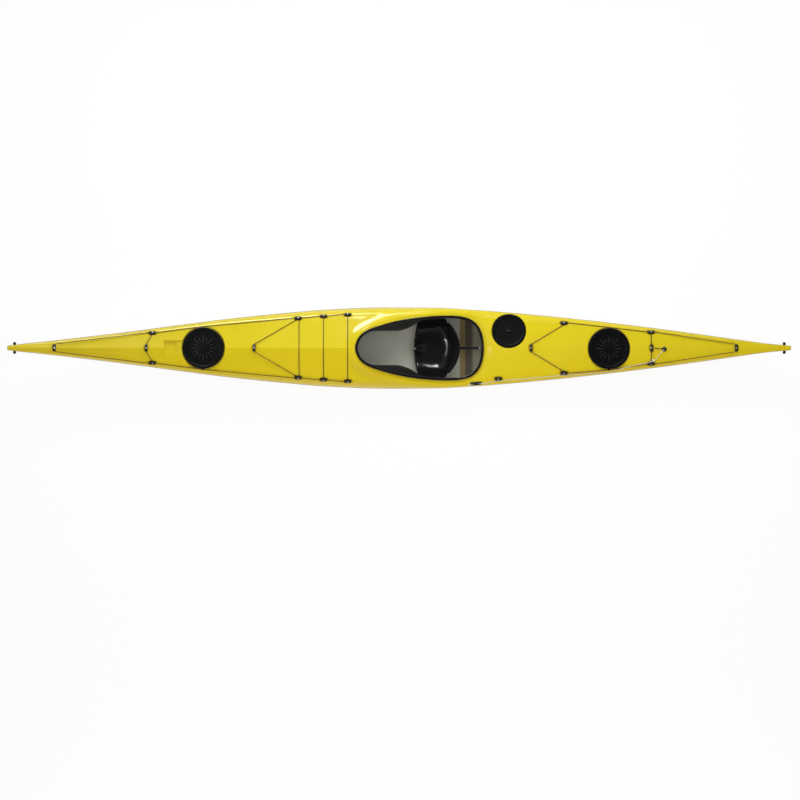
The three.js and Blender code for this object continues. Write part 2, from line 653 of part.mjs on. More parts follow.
// As skinOver, for rings that stand across the boat
function skinAcross(rings) {
  const turnedRings = rings.map((ring) => ring.map((point) => new THREE.Vector3(point.y, point.x, point.z)));
  const geometry = geometryOf(skinOver(turnedRings));
  const array = geometry.getAttribute('position').array;
  for (let i = 0; i < array.length; i += 3) [array[i], array[i + 1]] = [array[i + 1], array[i]];
  return turned(geometry);
}

// The strap from the back band to its bolt under the coaming's rear lip
const strapHalfWidth = 9;
const strapThickness = 3;
const strapRear = cockpitFront + cockpitLength - lipWidth - riserThickness - clearance * 3;
const strapUpShare = 0.6; // of the pad's half height
function makeStrap() {
  const lean = (strapThickness * bandPadLean) / bandPadHeight / 2;
  const from = new THREE.Vector3(
    bandPadX(0, strapUpShare) + bandPadThickness * bandFaceShare + lean + clearance, 0,
    bandPadLow + (bandPadHeight / 2) * (1 + strapUpShare));
  const to = new THREE.Vector3(strapRear, 0, coamingBase(strapRear) - riserDepth / 2);
  const rings = [0, 0.25, 0.5, 0.75, 1].map((share) => {
    const sag = Math.sin(share * Math.PI) * strapThickness * 2;
    const middle = new THREE.Vector3().lerpVectors(from, to, share);
    return [[-1, -1], [1, -1], [1, 1], [-1, 1]].map(([side, up]) => new THREE.Vector3(
      middle.x, side * strapHalfWidth, middle.z - sag + (up * strapThickness) / 2));
  });
  return skinOver(rings);
}

// Foot braces: a rail bolted inside each side of the hull and a pedal that slides along it
const railFrontX = stationX(0.3316);
const railRearX = stationX(0.40967);
const railDrop = 42; // below the joint line
const railHeight = 24;
const railThickness = 9;
const railStandOff = 3;
const boltRadius = 3;
const boltHeadRadius = 7;
const boltHeadHeight = 3;
const frontBoltX = stationX(0.33848);
const rearBoltX = stationX(0.40353);
const pedalLength = 62;
const pedalReach = 84;
const pedalHeight = 118;
function sideAt(x, z, wall) {
  const station = stationOf(x);
  const half = hullHalf(station, wall);
  const found = half.findIndex((point, i) => i > 0 && point.y >= z);
  const b = half[found < 0 ? half.length - 1 : found];
  const a = half[(found < 0 ? half.length - 1 : found) - 1];
  return mix(a.x, b.x, THREE.MathUtils.clamp((z - a.y) / (b.y - a.y), 0, 1));
}
const railPoint = (x) => {
  const z = sheer(stationOf(x)) - railDrop;
  return new THREE.Vector3(x, sideAt(x, z, shellWall), z);
};
function railFrame() {
  const low = Math.min(...[0, 0.25, 0.5, 0.75, 1].map((share) => {
    const x = mix(railFrontX, railRearX, share);
    const edge = [-1, 1].map((up) => {
      const z = railPoint(x).z + (up * railHeight) / 2;
      return sideAt(x, z, shellWall) - mix(railPoint(railFrontX).y, railPoint(railRearX).y, share);
    });
    return Math.min(...edge);
  }));
  const from = railPoint(railFrontX);
  const to = railPoint(railRearX);
  const shift = low - railStandOff;
  from.y += shift;
  to.y += shift;
  return { from, to, along: new THREE.Vector3().subVectors(to, from).normalize() };
}
function braceBolts() {
  const { from, to } = railFrame();
  return [frontBoltX, rearBoltX].flatMap((x) => {
    const share = (x - from.x) / (to.x - from.x);
    const z = mix(from.z, to.z, share);
    const inner = mix(from.y, to.y, share);
    const outer = sideAt(x, z, 0);
    return [-1, 1].map((side) => ({
      side,
      inside: new THREE.Vector3(x, side * (inner - railThickness / 2), z),
      outside: new THREE.Vector3(x, side * (outer + boltHeadHeight + clearance), z),
    }));
  });
}
const railMatrix = (side) => {
  const { from, along } = railFrame();
  const x = new THREE.Vector3(along.x, side * along.y, along.z);
  const y = new THREE.Vector3(-side * along.y, along.x, 0).normalize();
  const z = new THREE.Vector3().crossVectors(x, y);
  return new THREE.Matrix4().makeBasis(x, y, z).setPosition(from.x, side * from.y, from.z);
};
const railLength = () => {
  const { from, to } = railFrame();
  return from.distanceTo(to);
};
function makeRail(side) {
  const long = railLength();
  const bar = new THREE.BoxGeometry(long, railThickness, railHeight);
  bar.translate(long / 2, (-side * railThickness) / 2, 0);
  let rail = placed(bar, railMatrix(side));
  const groove = new THREE.BoxGeometry(long - railHeight, railThickness / 2, railHeight / 2.5);
  groove.translate(long / 2, -side * railThickness, 0);
  rail = rail.subtract(placed(groove, railMatrix(side)));
  braceBolts().filter((bolt) => bolt.side === side).forEach((bolt) => {
    const head = rod(boltHeadRadius, bolt.inside, bolt.outside, 12).subtract(hullKeepOut);
    rail = rail.add(head.decompose().sort((a, b) => Math.abs(b.boundingBox().max[1] + b.boundingBox().min[1])
      - Math.abs(a.boundingBox().max[1] + a.boundingBox().min[1]))[0]);
    rail = rail.add(rod(boltRadius, bolt.inside, bolt.outside, 10));
  });
  return rail;
}
function makePedal(side) {
  const middle = railLength() / 2;
  const outline2d = new THREE.Shape();
  const corner = pedalReach / 4;
  const near = railThickness + clearance;
  outline2d.moveTo(near, -railHeight / 2);
  outline2d.lineTo(near + corner, -pedalHeight * 0.4);
  outline2d.quadraticCurveTo(near + pedalReach * 0.6, -pedalHeight * 0.5,
    near + pedalReach, -pedalHeight * 0.3);
  outline2d.lineTo(near + pedalReach, pedalHeight * 0.25);
  outline2d.quadraticCurveTo(near + pedalReach * 0.6, pedalHeight * 0.45, near + corner, pedalHeight * 0.35);
  outline2d.lineTo(near, railHeight / 2);
  const plate = new THREE.ExtrudeGeometry(outline2d, {
    depth: railThickness, bevelEnabled: false, curveSegments: 4,
  });
  plate.applyMatrix4(new THREE.Matrix4().makeBasis(
    new THREE.Vector3(0, -side, 0), new THREE.Vector3(0, 0, 1), new THREE.Vector3(-side, 0, 0)));
  return { plate, middle };
}

// The drop skeg: a slot in the keel, a case over it, a pivoting blade
const skegSlotFront = stationX(0.83457);
const skegSlotWidth = 11;
const skegCaseWall = 3;
const skegCaseHeight = 150;
const skegPivotBehind = 22; // from the slot's front end
const skegPivotOver = 46.58; // over the keel
const skegPivot = {
  x: skegSlotFront + skegPivotBehind, z: keel(stationOf(skegSlotFront)) + skegPivotOver, radius: 4,
};
const skegBladeThickness = 6;
const skegBladeLength = 226;
const skegBladeRoom = 20; // slot behind the blade's tip
const skegSlotRear = skegPivot.x + skegBladeLength + skegBladeRoom;
const skegBladeDepth = 92;
const skegShow = 12;
function skegCaseOutline(grow) {
  const low = keel(stationOf(skegSlotFront)) - overrun;
  const high = keel(stationOf(skegSlotFront)) + skegCaseHeight;
  const shape = new THREE.Shape();
  shape.moveTo(skegSlotFront - grow, low);
  shape.lineTo(skegSlotRear + grow, low);
  shape.lineTo(skegSlotRear + grow, high - skegCaseHeight / 3 + grow);
  shape.lineTo(skegSlotRear - skegCaseHeight / 3, high + grow);
  shape.lineTo(skegSlotFront - grow, high - skegCaseHeight / 3 + grow);
  return shape;
}
function uprightPlate(shape, thickness, segments = 8) {
  const geometry = new THREE.ExtrudeGeometry(shape, {
    depth: thickness, bevelEnabled: false, curveSegments: segments,
  });
  geometry.rotateX(Math.PI / 2);
  geometry.translate(0, thickness / 2, 0);
  return geometry;
}
function makeSkegCase() {
  const outer = solidOf(uprightPlate(skegCaseOutline(skegCaseWall), skegSlotWidth + skegCaseWall * 2));
  const inner = solidOf(uprightPlate(skegCaseOutline(0), skegSlotWidth));
  const fit = hullVolume(shellWall + clearance, flange, innerHullStations);
  const pin = rod(skegPivot.radius - clearance,
    new THREE.Vector3(skegPivot.x, -skegSlotWidth / 2 - skegCaseWall / 2, skegPivot.z),
    new THREE.Vector3(skegPivot.x, skegSlotWidth / 2 + skegCaseWall / 2, skegPivot.z), 16);
  return outer.subtract(inner).intersect(fit).add(pin);
}
function makeSkegBlade() {
  const tail = skegPivot.x + skegBladeLength;
  const foot = keel(stationOf(tail)) - skegShow;
  const shape = new THREE.Shape();
  shape.moveTo(skegPivot.x - skegPivot.radius * 2, skegPivot.z - skegPivot.radius);
  shape.quadraticCurveTo(skegPivot.x + skegBladeLength * 0.3, keel(stationOf(skegPivot.x)) + skegShow / 2,
    tail - skegShow, foot);
  shape.lineTo(tail, foot + skegShow / 2);
  shape.quadraticCurveTo(tail - skegShow / 2, foot + skegBladeDepth * 0.7, tail - skegBladeLength * 0.22,
    foot + skegBladeDepth);
  shape.lineTo(skegPivot.x, skegPivot.z + skegPivot.radius * 2.4);
  shape.quadraticCurveTo(skegPivot.x - skegPivot.radius * 2.6, skegPivot.z + skegPivot.radius * 2,
    skegPivot.x - skegPivot.radius * 2, skegPivot.z - skegPivot.radius);
  const blade = solidOf(uprightPlate(shape, skegBladeThickness));
  const eye = rod(skegPivot.radius, new THREE.Vector3(skegPivot.x, -overrun, skegPivot.z),
    new THREE.Vector3(skegPivot.x, overrun, skegPivot.z), 16);
  return blade.subtract(eye);
}

// Deck fittings: a ramped block with an eye through it, cut to the deck it sits on
function fittingFrame({ x, y, heading }) {
  const reach = fittingWidth / 2;
  const centre = new THREE.Vector3(x, y, deckAt(x, y));
  const fore = new THREE.Vector3(x + reach, y, deckAt(x + reach, y)).sub(
    new THREE.Vector3(x - reach, y, deckAt(x - reach, y)));
  const side = new THREE.Vector3(x, y + reach, deckAt(x, y + reach)).sub(
    new THREE.Vector3(x, y - reach, deckAt(x, y - reach)));
  const up = new THREE.Vector3().crossVectors(fore, side).normalize();
  const ahead = new THREE.Vector3(Math.cos(heading), Math.sin(heading), 0);
  ahead.addScaledVector(up, -ahead.dot(up)).normalize();
  const across = new THREE.Vector3().crossVectors(up, ahead);
  return new THREE.Matrix4().makeBasis(ahead, across, up).setPosition(centre);
}
const eyeCentre = fittingHeight - eyeHeight;
const fittingSink = 10;
function makeFitting(place) {
  const shape = new THREE.Shape();
  const half = fittingLength / 2;
  shape.moveTo(-half, -fittingSink);
  shape.lineTo(half, -fittingSink);
  shape.lineTo(half, fittingHeight * 0.25);
  shape.lineTo(half * 0.4, fittingHeight);
  shape.lineTo(-half * 0.4, fittingHeight);
  shape.lineTo(-half, fittingHeight * 0.25);
  const body = uprightPlate(shape, fittingWidth);
  const eye = new THREE.BoxGeometry(fittingLength * 2, eyeWidth, eyeHeight);
  eye.translate(0, 0, eyeCentre);
  const frame = fittingFrame(place);
  return placed(body, frame).subtract(placed(eye, frame)).subtract(deckKeepOut);
}
const acrossDeck = Math.PI / 2;
const pairs = {
  hatch: [0.18401, 0.7804],
  vee: [0.37026, 0.8226],
  middle: [0.40279, 0.8324],
  rear: [0.43364, 0.8462],
  aftVee: [0.71059, 0.8277],
  stern: [0.82193, 0.7853],
};
const portOf = ([station, side]) => spot(station, -side);
const starboardOf = ([station, side]) => spot(station, side);
const fittings = {
  bow_fitting: spot(0.05948, 0, acrossDeck),
  fore_centre_fitting_1: spot(0.17639, 0, acrossDeck),
  fore_centre_fitting_2: spot(0.31413, 0, acrossDeck),
  port_fitting_1: portOf(pairs.hatch),
  starboard_fitting_1: starboardOf(pairs.hatch),
  port_fitting_2: portOf(pairs.vee),
  starboard_fitting_2: starboardOf(pairs.vee),
  port_fitting_3: portOf(pairs.middle),
  starboard_fitting_3: starboardOf(pairs.middle),
  port_fitting_4: portOf(pairs.rear),
  starboard_fitting_4: starboardOf(pairs.rear),
  port_fitting_5: spot(0.62658, -0.8456),
  aft_centre_fitting_1: spot(0.6684, 0, acrossDeck),
  port_fitting_6: portOf(pairs.aftVee),
  starboard_fitting_6: starboardOf(pairs.aftVee),
  port_fitting_7: portOf(pairs.stern),
  starboard_fitting_7: starboardOf(pairs.stern),
  aft_centre_fitting_2: spot(0.82249, 0, acrossDeck),
  stern_fitting: spot(0.93104, 0, acrossDeck),
};

// Cords: a route whose sampled points are exactly the points of its list
class Route extends THREE.Curve {
  constructor(points) {
    super();
    this.points = points;
  }

  getPoint(share) {
    const at = share * (this.points.length - 1);
    const i = Math.min(Math.floor(at), this.points.length - 2);
    return new THREE.Vector3().lerpVectors(this.points[i], this.points[i + 1], at - i);
  }

  getPointAt(share) {
    return this.getPoint(share);
  }

  getTangentAt(share) {
    const at = Math.round(share * (this.points.length - 1));
    const before = this.points[Math.max(0, at - 1)];
    const after = this.points[Math.min(this.points.length - 1, at + 1)];
    const here = this.points[at];
    const ahead = new THREE.Vector3().subVectors(after, here).normalize();
    const behind = new THREE.Vector3().subVectors(here, before).normalize();
    return ahead.add(behind).normalize();
  }
}
function tubeAlong(points, radius, sides = 8) {
  const corners = [];
  for (let i = 0; i < sides; i += 1) {
    const turn = (i * 2 * Math.PI) / sides;
    corners.push(new THREE.Vector2(radius * Math.cos(turn), radius * Math.sin(turn)));
  }
  return new THREE.ExtrudeGeometry(new THREE.Shape(corners), {
    steps: points.length - 1, bevelEnabled: false, extrudePath: new Route(points),
  });
}

// Where a line passes through a fitting's eye: the two mouths, in order along the line
const mouthShare = 0.62;
function throughEye(name, reverse = false) {
  const fitting = fittings[name];
  const frame = fittingFrame(fitting);
  const mouths = [-1, 1].map((end) => new THREE.Vector3(
    end * fittingLength * mouthShare, 0, eyeCentre).applyMatrix4(frame));
  return reverse ? mouths.reverse() : mouths;
}
// A taut stretch over the deck: straight, but never lower than the line lying on the skin
function tautOver(from, to, steps, radius = lineRadius) {
  const points = [];
  for (let i = 1; i < steps; i += 1) {
    const point = new THREE.Vector3().lerpVectors(from, to, i / steps);
    point.z = Math.max(point.z, deckAt(point.x, point.y) + radius * 1.5);
    points.push(point);
  }
  return points;
}
const besideHatch = 6;
function pastHatch(hatch, side, out) {
  const y = hatch.y + side * (hatch.radius + out);
  return new THREE.Vector3(hatch.x, y, deckAt(hatch.x, y) + lineRadius * 1.7);
}
function routeThrough(stops) {
  const points = [...stops[0].points];
  stops.slice(1).forEach((stop) => {
    points.push(...tautOver(points.at(-1), stop.points[0], stop.steps), ...stop.points);
  });
  return points;
}
function foreLineRoute() {
  const side = (hand, sign, reverse) => {
    const stops = [
      { points: throughEye(`${hand}_fitting_1`, reverse), steps: 5 },
      { points: [pastHatch(frontHatch, sign, besideHatch)], steps: 3 },
      { points: throughEye(`${hand}_fitting_2`, reverse), steps: 4 },
      { points: throughEye(`${hand}_fitting_3`, reverse), steps: 1 },
      { points: throughEye(`${hand}_fitting_4`, reverse), steps: 1 },
    ];
    return reverse ? stops.reverse() : stops;
  };
  const port = side('port', -1, true);
  const starboard = side('starboard', 1, false);
  const steps = [1, 1, 1, 4, 3];
  port.forEach((stop, i) => { stop.steps = steps[i]; });
  return routeThrough([
    ...port, { points: throughEye('bow_fitting'), steps: 5 }, ...starboard,
  ]);
}
function aftLineRoute() {
  return routeThrough([
    { points: throughEye('port_fitting_6') },
    { points: [pastHatch(rearHatch, -1, besideHatch)], steps: 2 },
    { points: throughEye('port_fitting_7'), steps: 2 },
    { points: throughEye('stern_fitting'), steps: 4 },
    { points: throughEye('starboard_fitting_7', true), steps: 4 },
    { points: [pastHatch(rearHatch, 1, besideHatch)], steps: 2 },
    { points: throughEye('starboard_fitting_6', true), steps: 2 },
  ]);
}

// Bungees end in a hooked end against a fitting's side and may pass the eye of a centre fitting
const bungeeGap = 0.8;
function besideFitting(name, along = 0, gap = bungeeGap) {
  const fitting = fittings[name];
  const frame = fittingFrame(fitting);
  const side = -Math.sign(fitting.y);
  return new THREE.Vector3(along, side * (fittingWidth / 2 + gap), lineRadius * 1.5 + bungeeGap)
    .applyMatrix4(frame);
}
function crossRoute(portName, starboardName, along = 0, steps = 6) {
  const from = besideFitting(portName, along);
  const to = besideFitting(starboardName, along);
  const top = new THREE.Vector3(from.x, 0, deckAt(from.x, 0) + lineRadius * 1.8);
  const rise = lineRadius * 1.3;
  return [from, ...tautOver(from, top, steps / 2, rise), top, ...tautOver(top, to, steps / 2, rise), to];
}
function veeRoute(portName, centreName, starboardName, along, steps) {
  const from = besideFitting(portName, along, bungeeGap + lineRadius * 0.8);
  const to = besideFitting(starboardName, along, bungeeGap + lineRadius * 0.8);
  const eye = throughEye(centreName);
  return [from, ...tautOver(from, eye[0], steps), ...eye, ...tautOver(eye[1], to, steps), to];
}

// The skeg line: from its cleat aft along the port edge, through a fairlead, down its hole
const skegCleat = { ...spot(0.59777, -0.93, 0.06), length: 80, width: 22, height: 12 };
const fairlead = { ...spot(0.82528, -0.6299, 0.53), radius: 7, height: 12, eye: 13 };
const exitRing = { radius: 17, height: 7 };
function makeCleat() {
  const shape = new THREE.Shape();
  const half = skegCleat.length / 2;
  shape.moveTo(-half, -fittingSink);
  shape.lineTo(half, -fittingSink);
  shape.lineTo(half, skegCleat.height * 0.4);
  shape.quadraticCurveTo(half * 0.6, skegCleat.height, 0, skegCleat.height);
  shape.quadraticCurveTo(-half * 0.6, skegCleat.height, -half, skegCleat.height * 0.4);
  const frame = fittingFrame(skegCleat);
  const jaw = new THREE.BoxGeometry(skegCleat.length * 2, skegLineRadius * 2 + clearance * 4, skegCleat.height);
  jaw.translate(0, 0, skegCleat.height * 0.85);
  return placed(uprightPlate(shape, skegCleat.width, 4), frame)
    .subtract(placed(jaw, frame)).subtract(deckKeepOut);
}
function makeFairlead() {
  const ring = lathed([
    [skegLineRadius + clearance * 2, -fairlead.height / 3], [fairlead.radius * 0.8, -fairlead.height / 3],
    [fairlead.radius * 0.8, fairlead.height / 3], [skegLineRadius + clearance * 2, fairlead.height / 3],
    [skegLineRadius + clearance * 2, -fairlead.height / 3],
  ], 12);
  ring.rotateY(Math.PI / 2);
  ring.translate(0, 0, fairlead.eye);
  const footTop = fairlead.eye - skegLineRadius * 2;
  const foot = new THREE.BoxGeometry(fairlead.height * 0.6, fairlead.radius * 2, footTop + fittingSink);
  foot.translate(0, 0, (footTop - fittingSink) / 2);
  const frame = fittingFrame(fairlead);
  return placed(ring, frame).add(placed(foot, frame)).subtract(deckKeepOut);
}
function makeExitRing() {
  const ring = lathed([
    [skegLineRadius + clearance * 3, -fittingSink], [exitRing.radius, -fittingSink],
    [exitRing.radius, exitRing.height * 0.4], [exitRing.radius * 0.75, exitRing.height],
    [exitRing.radius * 0.45, exitRing.height], [skegLineRadius + clearance * 3, exitRing.height * 0.4],
    [skegLineRadius + clearance * 3, -fittingSink],
  ], 16);
  return placed(ring, fittingFrame(skegLineHole)).subtract(deckKeepOut);
}
function skegLineRoute() {
  const cleatFrame = fittingFrame(skegCleat);
  const height = skegCleat.height * 0.35 + skegLineRadius + clearance * 2;
  const reach = skegCleat.length / 2 + skegLineRadius * 4;
  const start = new THREE.Vector3(-reach, 0, height).applyMatrix4(cleatFrame);
  const leave = new THREE.Vector3(reach, 0, height).applyMatrix4(cleatFrame);
  const beside = (fitting) => {
    const y = fitting.y - fittingWidth / 2 - skegLineRadius * 2.5;
    return new THREE.Vector3(fitting.x, y, deckAt(fitting.x, y) + skegLineRadius * 1.5);
  };
  const leadFrame = fittingFrame(fairlead);
  const lead = [-1, 1].map((end) => new THREE.Vector3(end * fairlead.height, 0, fairlead.eye)
    .applyMatrix4(leadFrame));
  const crossing = new THREE.Vector3().addVectors(
    pastHatch(rearHatch, -1, besideHatch), throughEye('port_fitting_7')[0]).multiplyScalar(0.5);
  crossing.z = deckAt(crossing.x, crossing.y) + lineRadius * 2.5 + skegLineRadius * 4;
  const holeTop = deckAt(skegLineHole.x, skegLineHole.y);
  const over = new THREE.Vector3(skegLineHole.x - skegLineRadius * 2, skegLineHole.y - skegLineRadius,
    holeTop + exitRing.height + skegLineRadius * 2);
  const into = new THREE.Vector3(skegLineHole.x, skegLineHole.y, holeTop + exitRing.height);
  const bottom = new THREE.Vector3(skegLineHole.x, skegLineHole.y, holeTop - skegCaseHeight / 5);
  return routeThrough([
    { points: [start, leave] },
    { points: [beside(fittings.port_fitting_5)], steps: 3 },
    { points: [beside(fittings.port_fitting_6)], steps: 5 },
    { points: [pastHatch(rearHatch, -1, besideHatch * 3.4)], steps: 4 },
    { points: [crossing], steps: 1 },
    { points: lead, steps: 2 },
    { points: [over, into, bottom], steps: 2 },
  ]);
}
function skegBungeeRoute() {
  const fitting = fittings.aft_centre_fitting_2;
  const startX = fitting.x + fittingWidth / 2 + bungeeGap;
  const start = new THREE.Vector3(startX, 0, deckAt(startX, 0) + lineRadius * 2);
  const endX = skegLineHole.x - exitRing.radius - bungeeGap * 2;
  const end = new THREE.Vector3(endX, skegLineHole.y / 2, deckAt(endX, 0) + lineRadius * 2);
  return [start, ...tautOver(start, end, 3), end];
}

// Carrying toggles: a loop of cord through a hole in each stem, a moulded grip on it
const toggleBore = 3.4;
const bowToggleDrop = 23.25; // hole in the stem below the joint line
const sternToggleDrop = 19.75;
const bowToggle = { x: stationX(0.00818), z: sheer(0.00818) - bowToggleDrop };
const sternToggle = { x: stationX(0.99257), z: sheer(0.99257) - sternToggleDrop };
const toggleDrop = 74;
const gripLength = 80;
const gripRadius = 11;
const gripWaistShare = 0.86;
const loopHalfWidth = 22;
function toggleRoute({ x, z }) {
  const bottom = z - toggleDrop + gripRadius * gripWaistShare + clearance;
  const half = [
    [lineRadius * 1.4, 0], [lineRadius * 2.4, 0.35], [loopHalfWidth * 0.9, 0.75], [loopHalfWidth, 0.92],
    [loopHalfWidth * 0.85, 1],
  ].map(([y, up]) => new THREE.Vector3(x, y, mix(bottom, z, up)));
  const left = half.map((point) => new THREE.Vector3(x, -point.y, point.z)).reverse();
  return [...half, new THREE.Vector3(x, 0, z), ...left];
}
function makeGrip({ x, z }) {
  const half = gripLength / 2;
  const profile = [
    [0, -half], [gripRadius * 0.8, -half], [gripRadius, -half * 0.85],
    [gripRadius * gripWaistShare, -half * 0.3],
    [gripRadius * gripWaistShare, half * 0.3], [gripRadius, half * 0.85], [gripRadius * 0.8, half], [0, half],
  ];
  const grip = new THREE.LatheGeometry(profile.map(([r, y]) => new THREE.Vector2(r, y)), 16);
  grip.rotateZ(Math.PI / 2);
  grip.translate(x, 0, z - toggleDrop);
  return solidOf(grip);
}

// Materials: gelcoat shells, black mouldings, rubber, cord, steel
const finish = (color, roughness, metalness = 0) => new THREE.MeshStandardMaterial({
  color, roughness, metalness,
});
const finishes = {
  yellow: () => finish('#e9c21c', 0.15),
  white: () => finish('#e4e7e8', 0.18),
  band: () => finish('#1d241f', 0.3),
  blackGloss: () => finish('#0c0d0e', 0.2),
  laminate: () => finish('#a59a80', 0.5),
  plastic: () => finish('#15161a', 0.45),
  rubber: () => finish('#1b1c1d', 0.6),
  cord: () => finish('#26211d', 0.8),
  lineWhite: () => finish('#d9d8d2', 0.7),
  fabric: () => finish('#17181b', 0.85),
  steel: () => finish('#b9bcbe', 0.3, 0.9),
};

const kayak = new THREE.Group();
function add(name, shape, material, into = kayak) {
  const geometry = shape.isBufferGeometry ? shape : geometryOf(shape);
  const mesh = new THREE.Mesh(geometry, material);
  mesh.name = name;
  into.add(mesh);
  return mesh;
}

add('hull_shell', makeHull(), finishes.white());
add('deck_shell', makeDeck(), finishes.yellow());
add('seam_band', makeBand(), finishes.band());
add('cockpit_coaming', makeCoaming(), finishes.blackGloss());
add('front_bulkhead', makeBulkhead(frontBulkheadX), finishes.laminate());
add('cockpit_bulkhead', makeBulkhead(cockpitBulkheadX), finishes.laminate());
add('day_bulkhead', makeBulkhead(dayBulkheadX), finishes.laminate());
add('seat', makeSeat(), finishes.blackGloss());
add('back_band', makeBackBand(), finishes.fabric());
add('back_band_strap', makeStrap(), finishes.fabric());

Object.entries(hatches).forEach(([name, hatch]) => {
  const well = new THREE.Group();
  well.applyMatrix4(hatchFrame(hatch));
  add(`${name}_hatch_rim`, makeRim(hatch), finishes.plastic(), well);
  add(`${name}_hatch_cover`, makeCover(hatch), finishes.rubber(), well);
  kayak.add(well);
});

[['port', -1], ['starboard', 1]].forEach(([hand, side]) => {
  add(`${hand}_foot_rail`, makeRail(side), finishes.plastic());
  const rail = new THREE.Group();
  rail.applyMatrix4(railMatrix(side));
  const { plate, middle } = makePedal(side);
  add(`${hand}_foot_pedal`, plate, finishes.plastic(), rail).position.set(middle, 0, 0);
  kayak.add(rail);
});

add('skeg_case', makeSkegCase(), finishes.plastic());
add('skeg_blade', makeSkegBlade(), finishes.plastic());
add('skeg_cleat', makeCleat(), finishes.plastic());
add('skeg_fairlead', makeFairlead(), finishes.steel());
add('skeg_exit_ring', makeExitRing(), finishes.plastic());
Object.entries(fittings).forEach(([name, fitting]) => add(name, makeFitting(fitting), finishes.plastic()));

add('fore_deck_line', tubeAlong(foreLineRoute(), lineRadius), finishes.cord());
add('aft_deck_line', tubeAlong(aftLineRoute(), lineRadius), finishes.cord());
add('fore_hatch_bungee', tubeAlong(
  veeRoute('port_fitting_1', 'fore_centre_fitting_1', 'starboard_fitting_1', 0, 2),
  lineRadius), finishes.cord());
add('fore_vee_bungee', tubeAlong(
  veeRoute('port_fitting_2', 'fore_centre_fitting_2', 'starboard_fitting_2', -fittingWidth / 2, 4),
  lineRadius), finishes.cord());
[2, 3, 4].forEach((i) => {
  add(`fore_cross_bungee_${i - 1}`, tubeAlong(
    crossRoute(`port_fitting_${i}`, `starboard_fitting_${i}`, i === 2 ? fittingWidth / 3 : 0, i === 4 ? 12 : 6),
    lineRadius), finishes.cord());
});
add('aft_vee_bungee', tubeAlong(
  veeRoute('port_fitting_6', 'aft_centre_fitting_1', 'starboard_fitting_6', 0, 3),
  lineRadius), finishes.cord());
add('aft_cross_bungee', tubeAlong(
  veeRoute('port_fitting_7', 'aft_centre_fitting_2', 'starboard_fitting_7', 0, 2),
  lineRadius), finishes.cord());
add('skeg_line', tubeAlong(skegLineRoute(), skegLineRadius), finishes.lineWhite());
add('skeg_bungee', tubeAlong(skegBungeeRoute(), lineRadius), finishes.cord());

[['bow', bowToggle], ['stern', sternToggle]].forEach(([end, toggle]) => {
  add(`${end}_toggle_cord`, tubeAlong(toggleRoute(toggle), lineRadius), finishes.cord());
  add(`${end}_toggle_grip`, makeGrip(toggle), finishes.plastic());
});

export default kayak;
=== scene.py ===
# %% [markdown]
# # A sea kayak in a plain studio
# The boat is a slender composite kayak: a white hull and a yellow deck joined by a black band, a keyhole
# cockpit, three round hatches, deck lines, a bucket seat and a drop skeg. The rigid model comes in first and
# stays fixed. Every piece made here then rides on one of its bodies, in metres, in the same frame:
# +X runs aft, +Y to starboard and +Z up.

# %% Load the fixed frame
import math

import bpy
import numpy as np
from mathutils import Matrix, Vector


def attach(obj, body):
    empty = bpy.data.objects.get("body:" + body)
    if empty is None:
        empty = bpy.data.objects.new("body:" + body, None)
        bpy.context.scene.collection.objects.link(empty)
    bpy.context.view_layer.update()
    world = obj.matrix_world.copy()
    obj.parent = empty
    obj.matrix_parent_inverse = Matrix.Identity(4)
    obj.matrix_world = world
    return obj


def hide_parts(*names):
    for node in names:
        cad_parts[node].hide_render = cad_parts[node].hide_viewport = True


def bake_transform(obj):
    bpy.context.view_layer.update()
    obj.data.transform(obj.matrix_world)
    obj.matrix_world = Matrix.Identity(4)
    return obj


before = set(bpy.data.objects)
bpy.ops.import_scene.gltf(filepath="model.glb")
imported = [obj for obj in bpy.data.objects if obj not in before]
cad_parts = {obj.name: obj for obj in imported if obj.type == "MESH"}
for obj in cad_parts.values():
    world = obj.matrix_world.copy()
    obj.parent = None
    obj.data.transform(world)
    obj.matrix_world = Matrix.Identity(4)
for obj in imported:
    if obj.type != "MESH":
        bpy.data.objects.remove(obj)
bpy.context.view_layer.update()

# %% [markdown]
# The photograph looks straight down on the deck with the bow to the left, through a long lens. A camera far
# above the boat with a narrow view gives the same flat look. It stands a little to port of the keel line, which
# puts the boat above the middle of the picture, as the photograph has it.

# %% Camera
PICTURE_WIDTH = 5.497  # metres that the frame's width covers at the deck
CAMERA_HEIGHT, DECK_LEVEL, SENSOR = 60.0, 0.4, 36  # metres, metres and millimetres
camera_data = bpy.data.cameras.new("studio_camera")
camera_data.sensor_width = SENSOR
camera_data.lens = SENSOR * (CAMERA_HEIGHT - DECK_LEVEL) / PICTURE_WIDTH
camera_data.clip_end = 200
camera = bpy.data.objects.new("studio_camera", camera_data)
camera.location = (0.003, -0.358, CAMERA_HEIGHT)
bpy.context.scene.collection.objects.link(camera)
bpy.context.scene.camera = camera
bpy.context.scene.view_settings.view_transform = "Standard"
print("lens:", round(camera_data.lens), "mm")

# %% [markdown]
# A pale floor makes the white page. It shows nearly white to the camera and in reflections, and keeps a soft
# share of the boat's shadow.

# %% Floor
PAGE_SHARE, PAGE_GLOW = 0.88, 1.03  # how much of the floor is plain page, and how bright the page is


def shader_node(tree, kind, links=(), **values):
    """One shader node; values set its properties or its sockets, links are (socket, output) pairs."""
    made = tree.nodes.new(kind)
    for key, value in values.items():
        if hasattr(made, key):
            setattr(made, key, value)
        else:
            made.inputs[key.replace("_", " ")].default_value = value
    for socket, output in links:
        tree.links.new(output, made.inputs[socket])
    return made


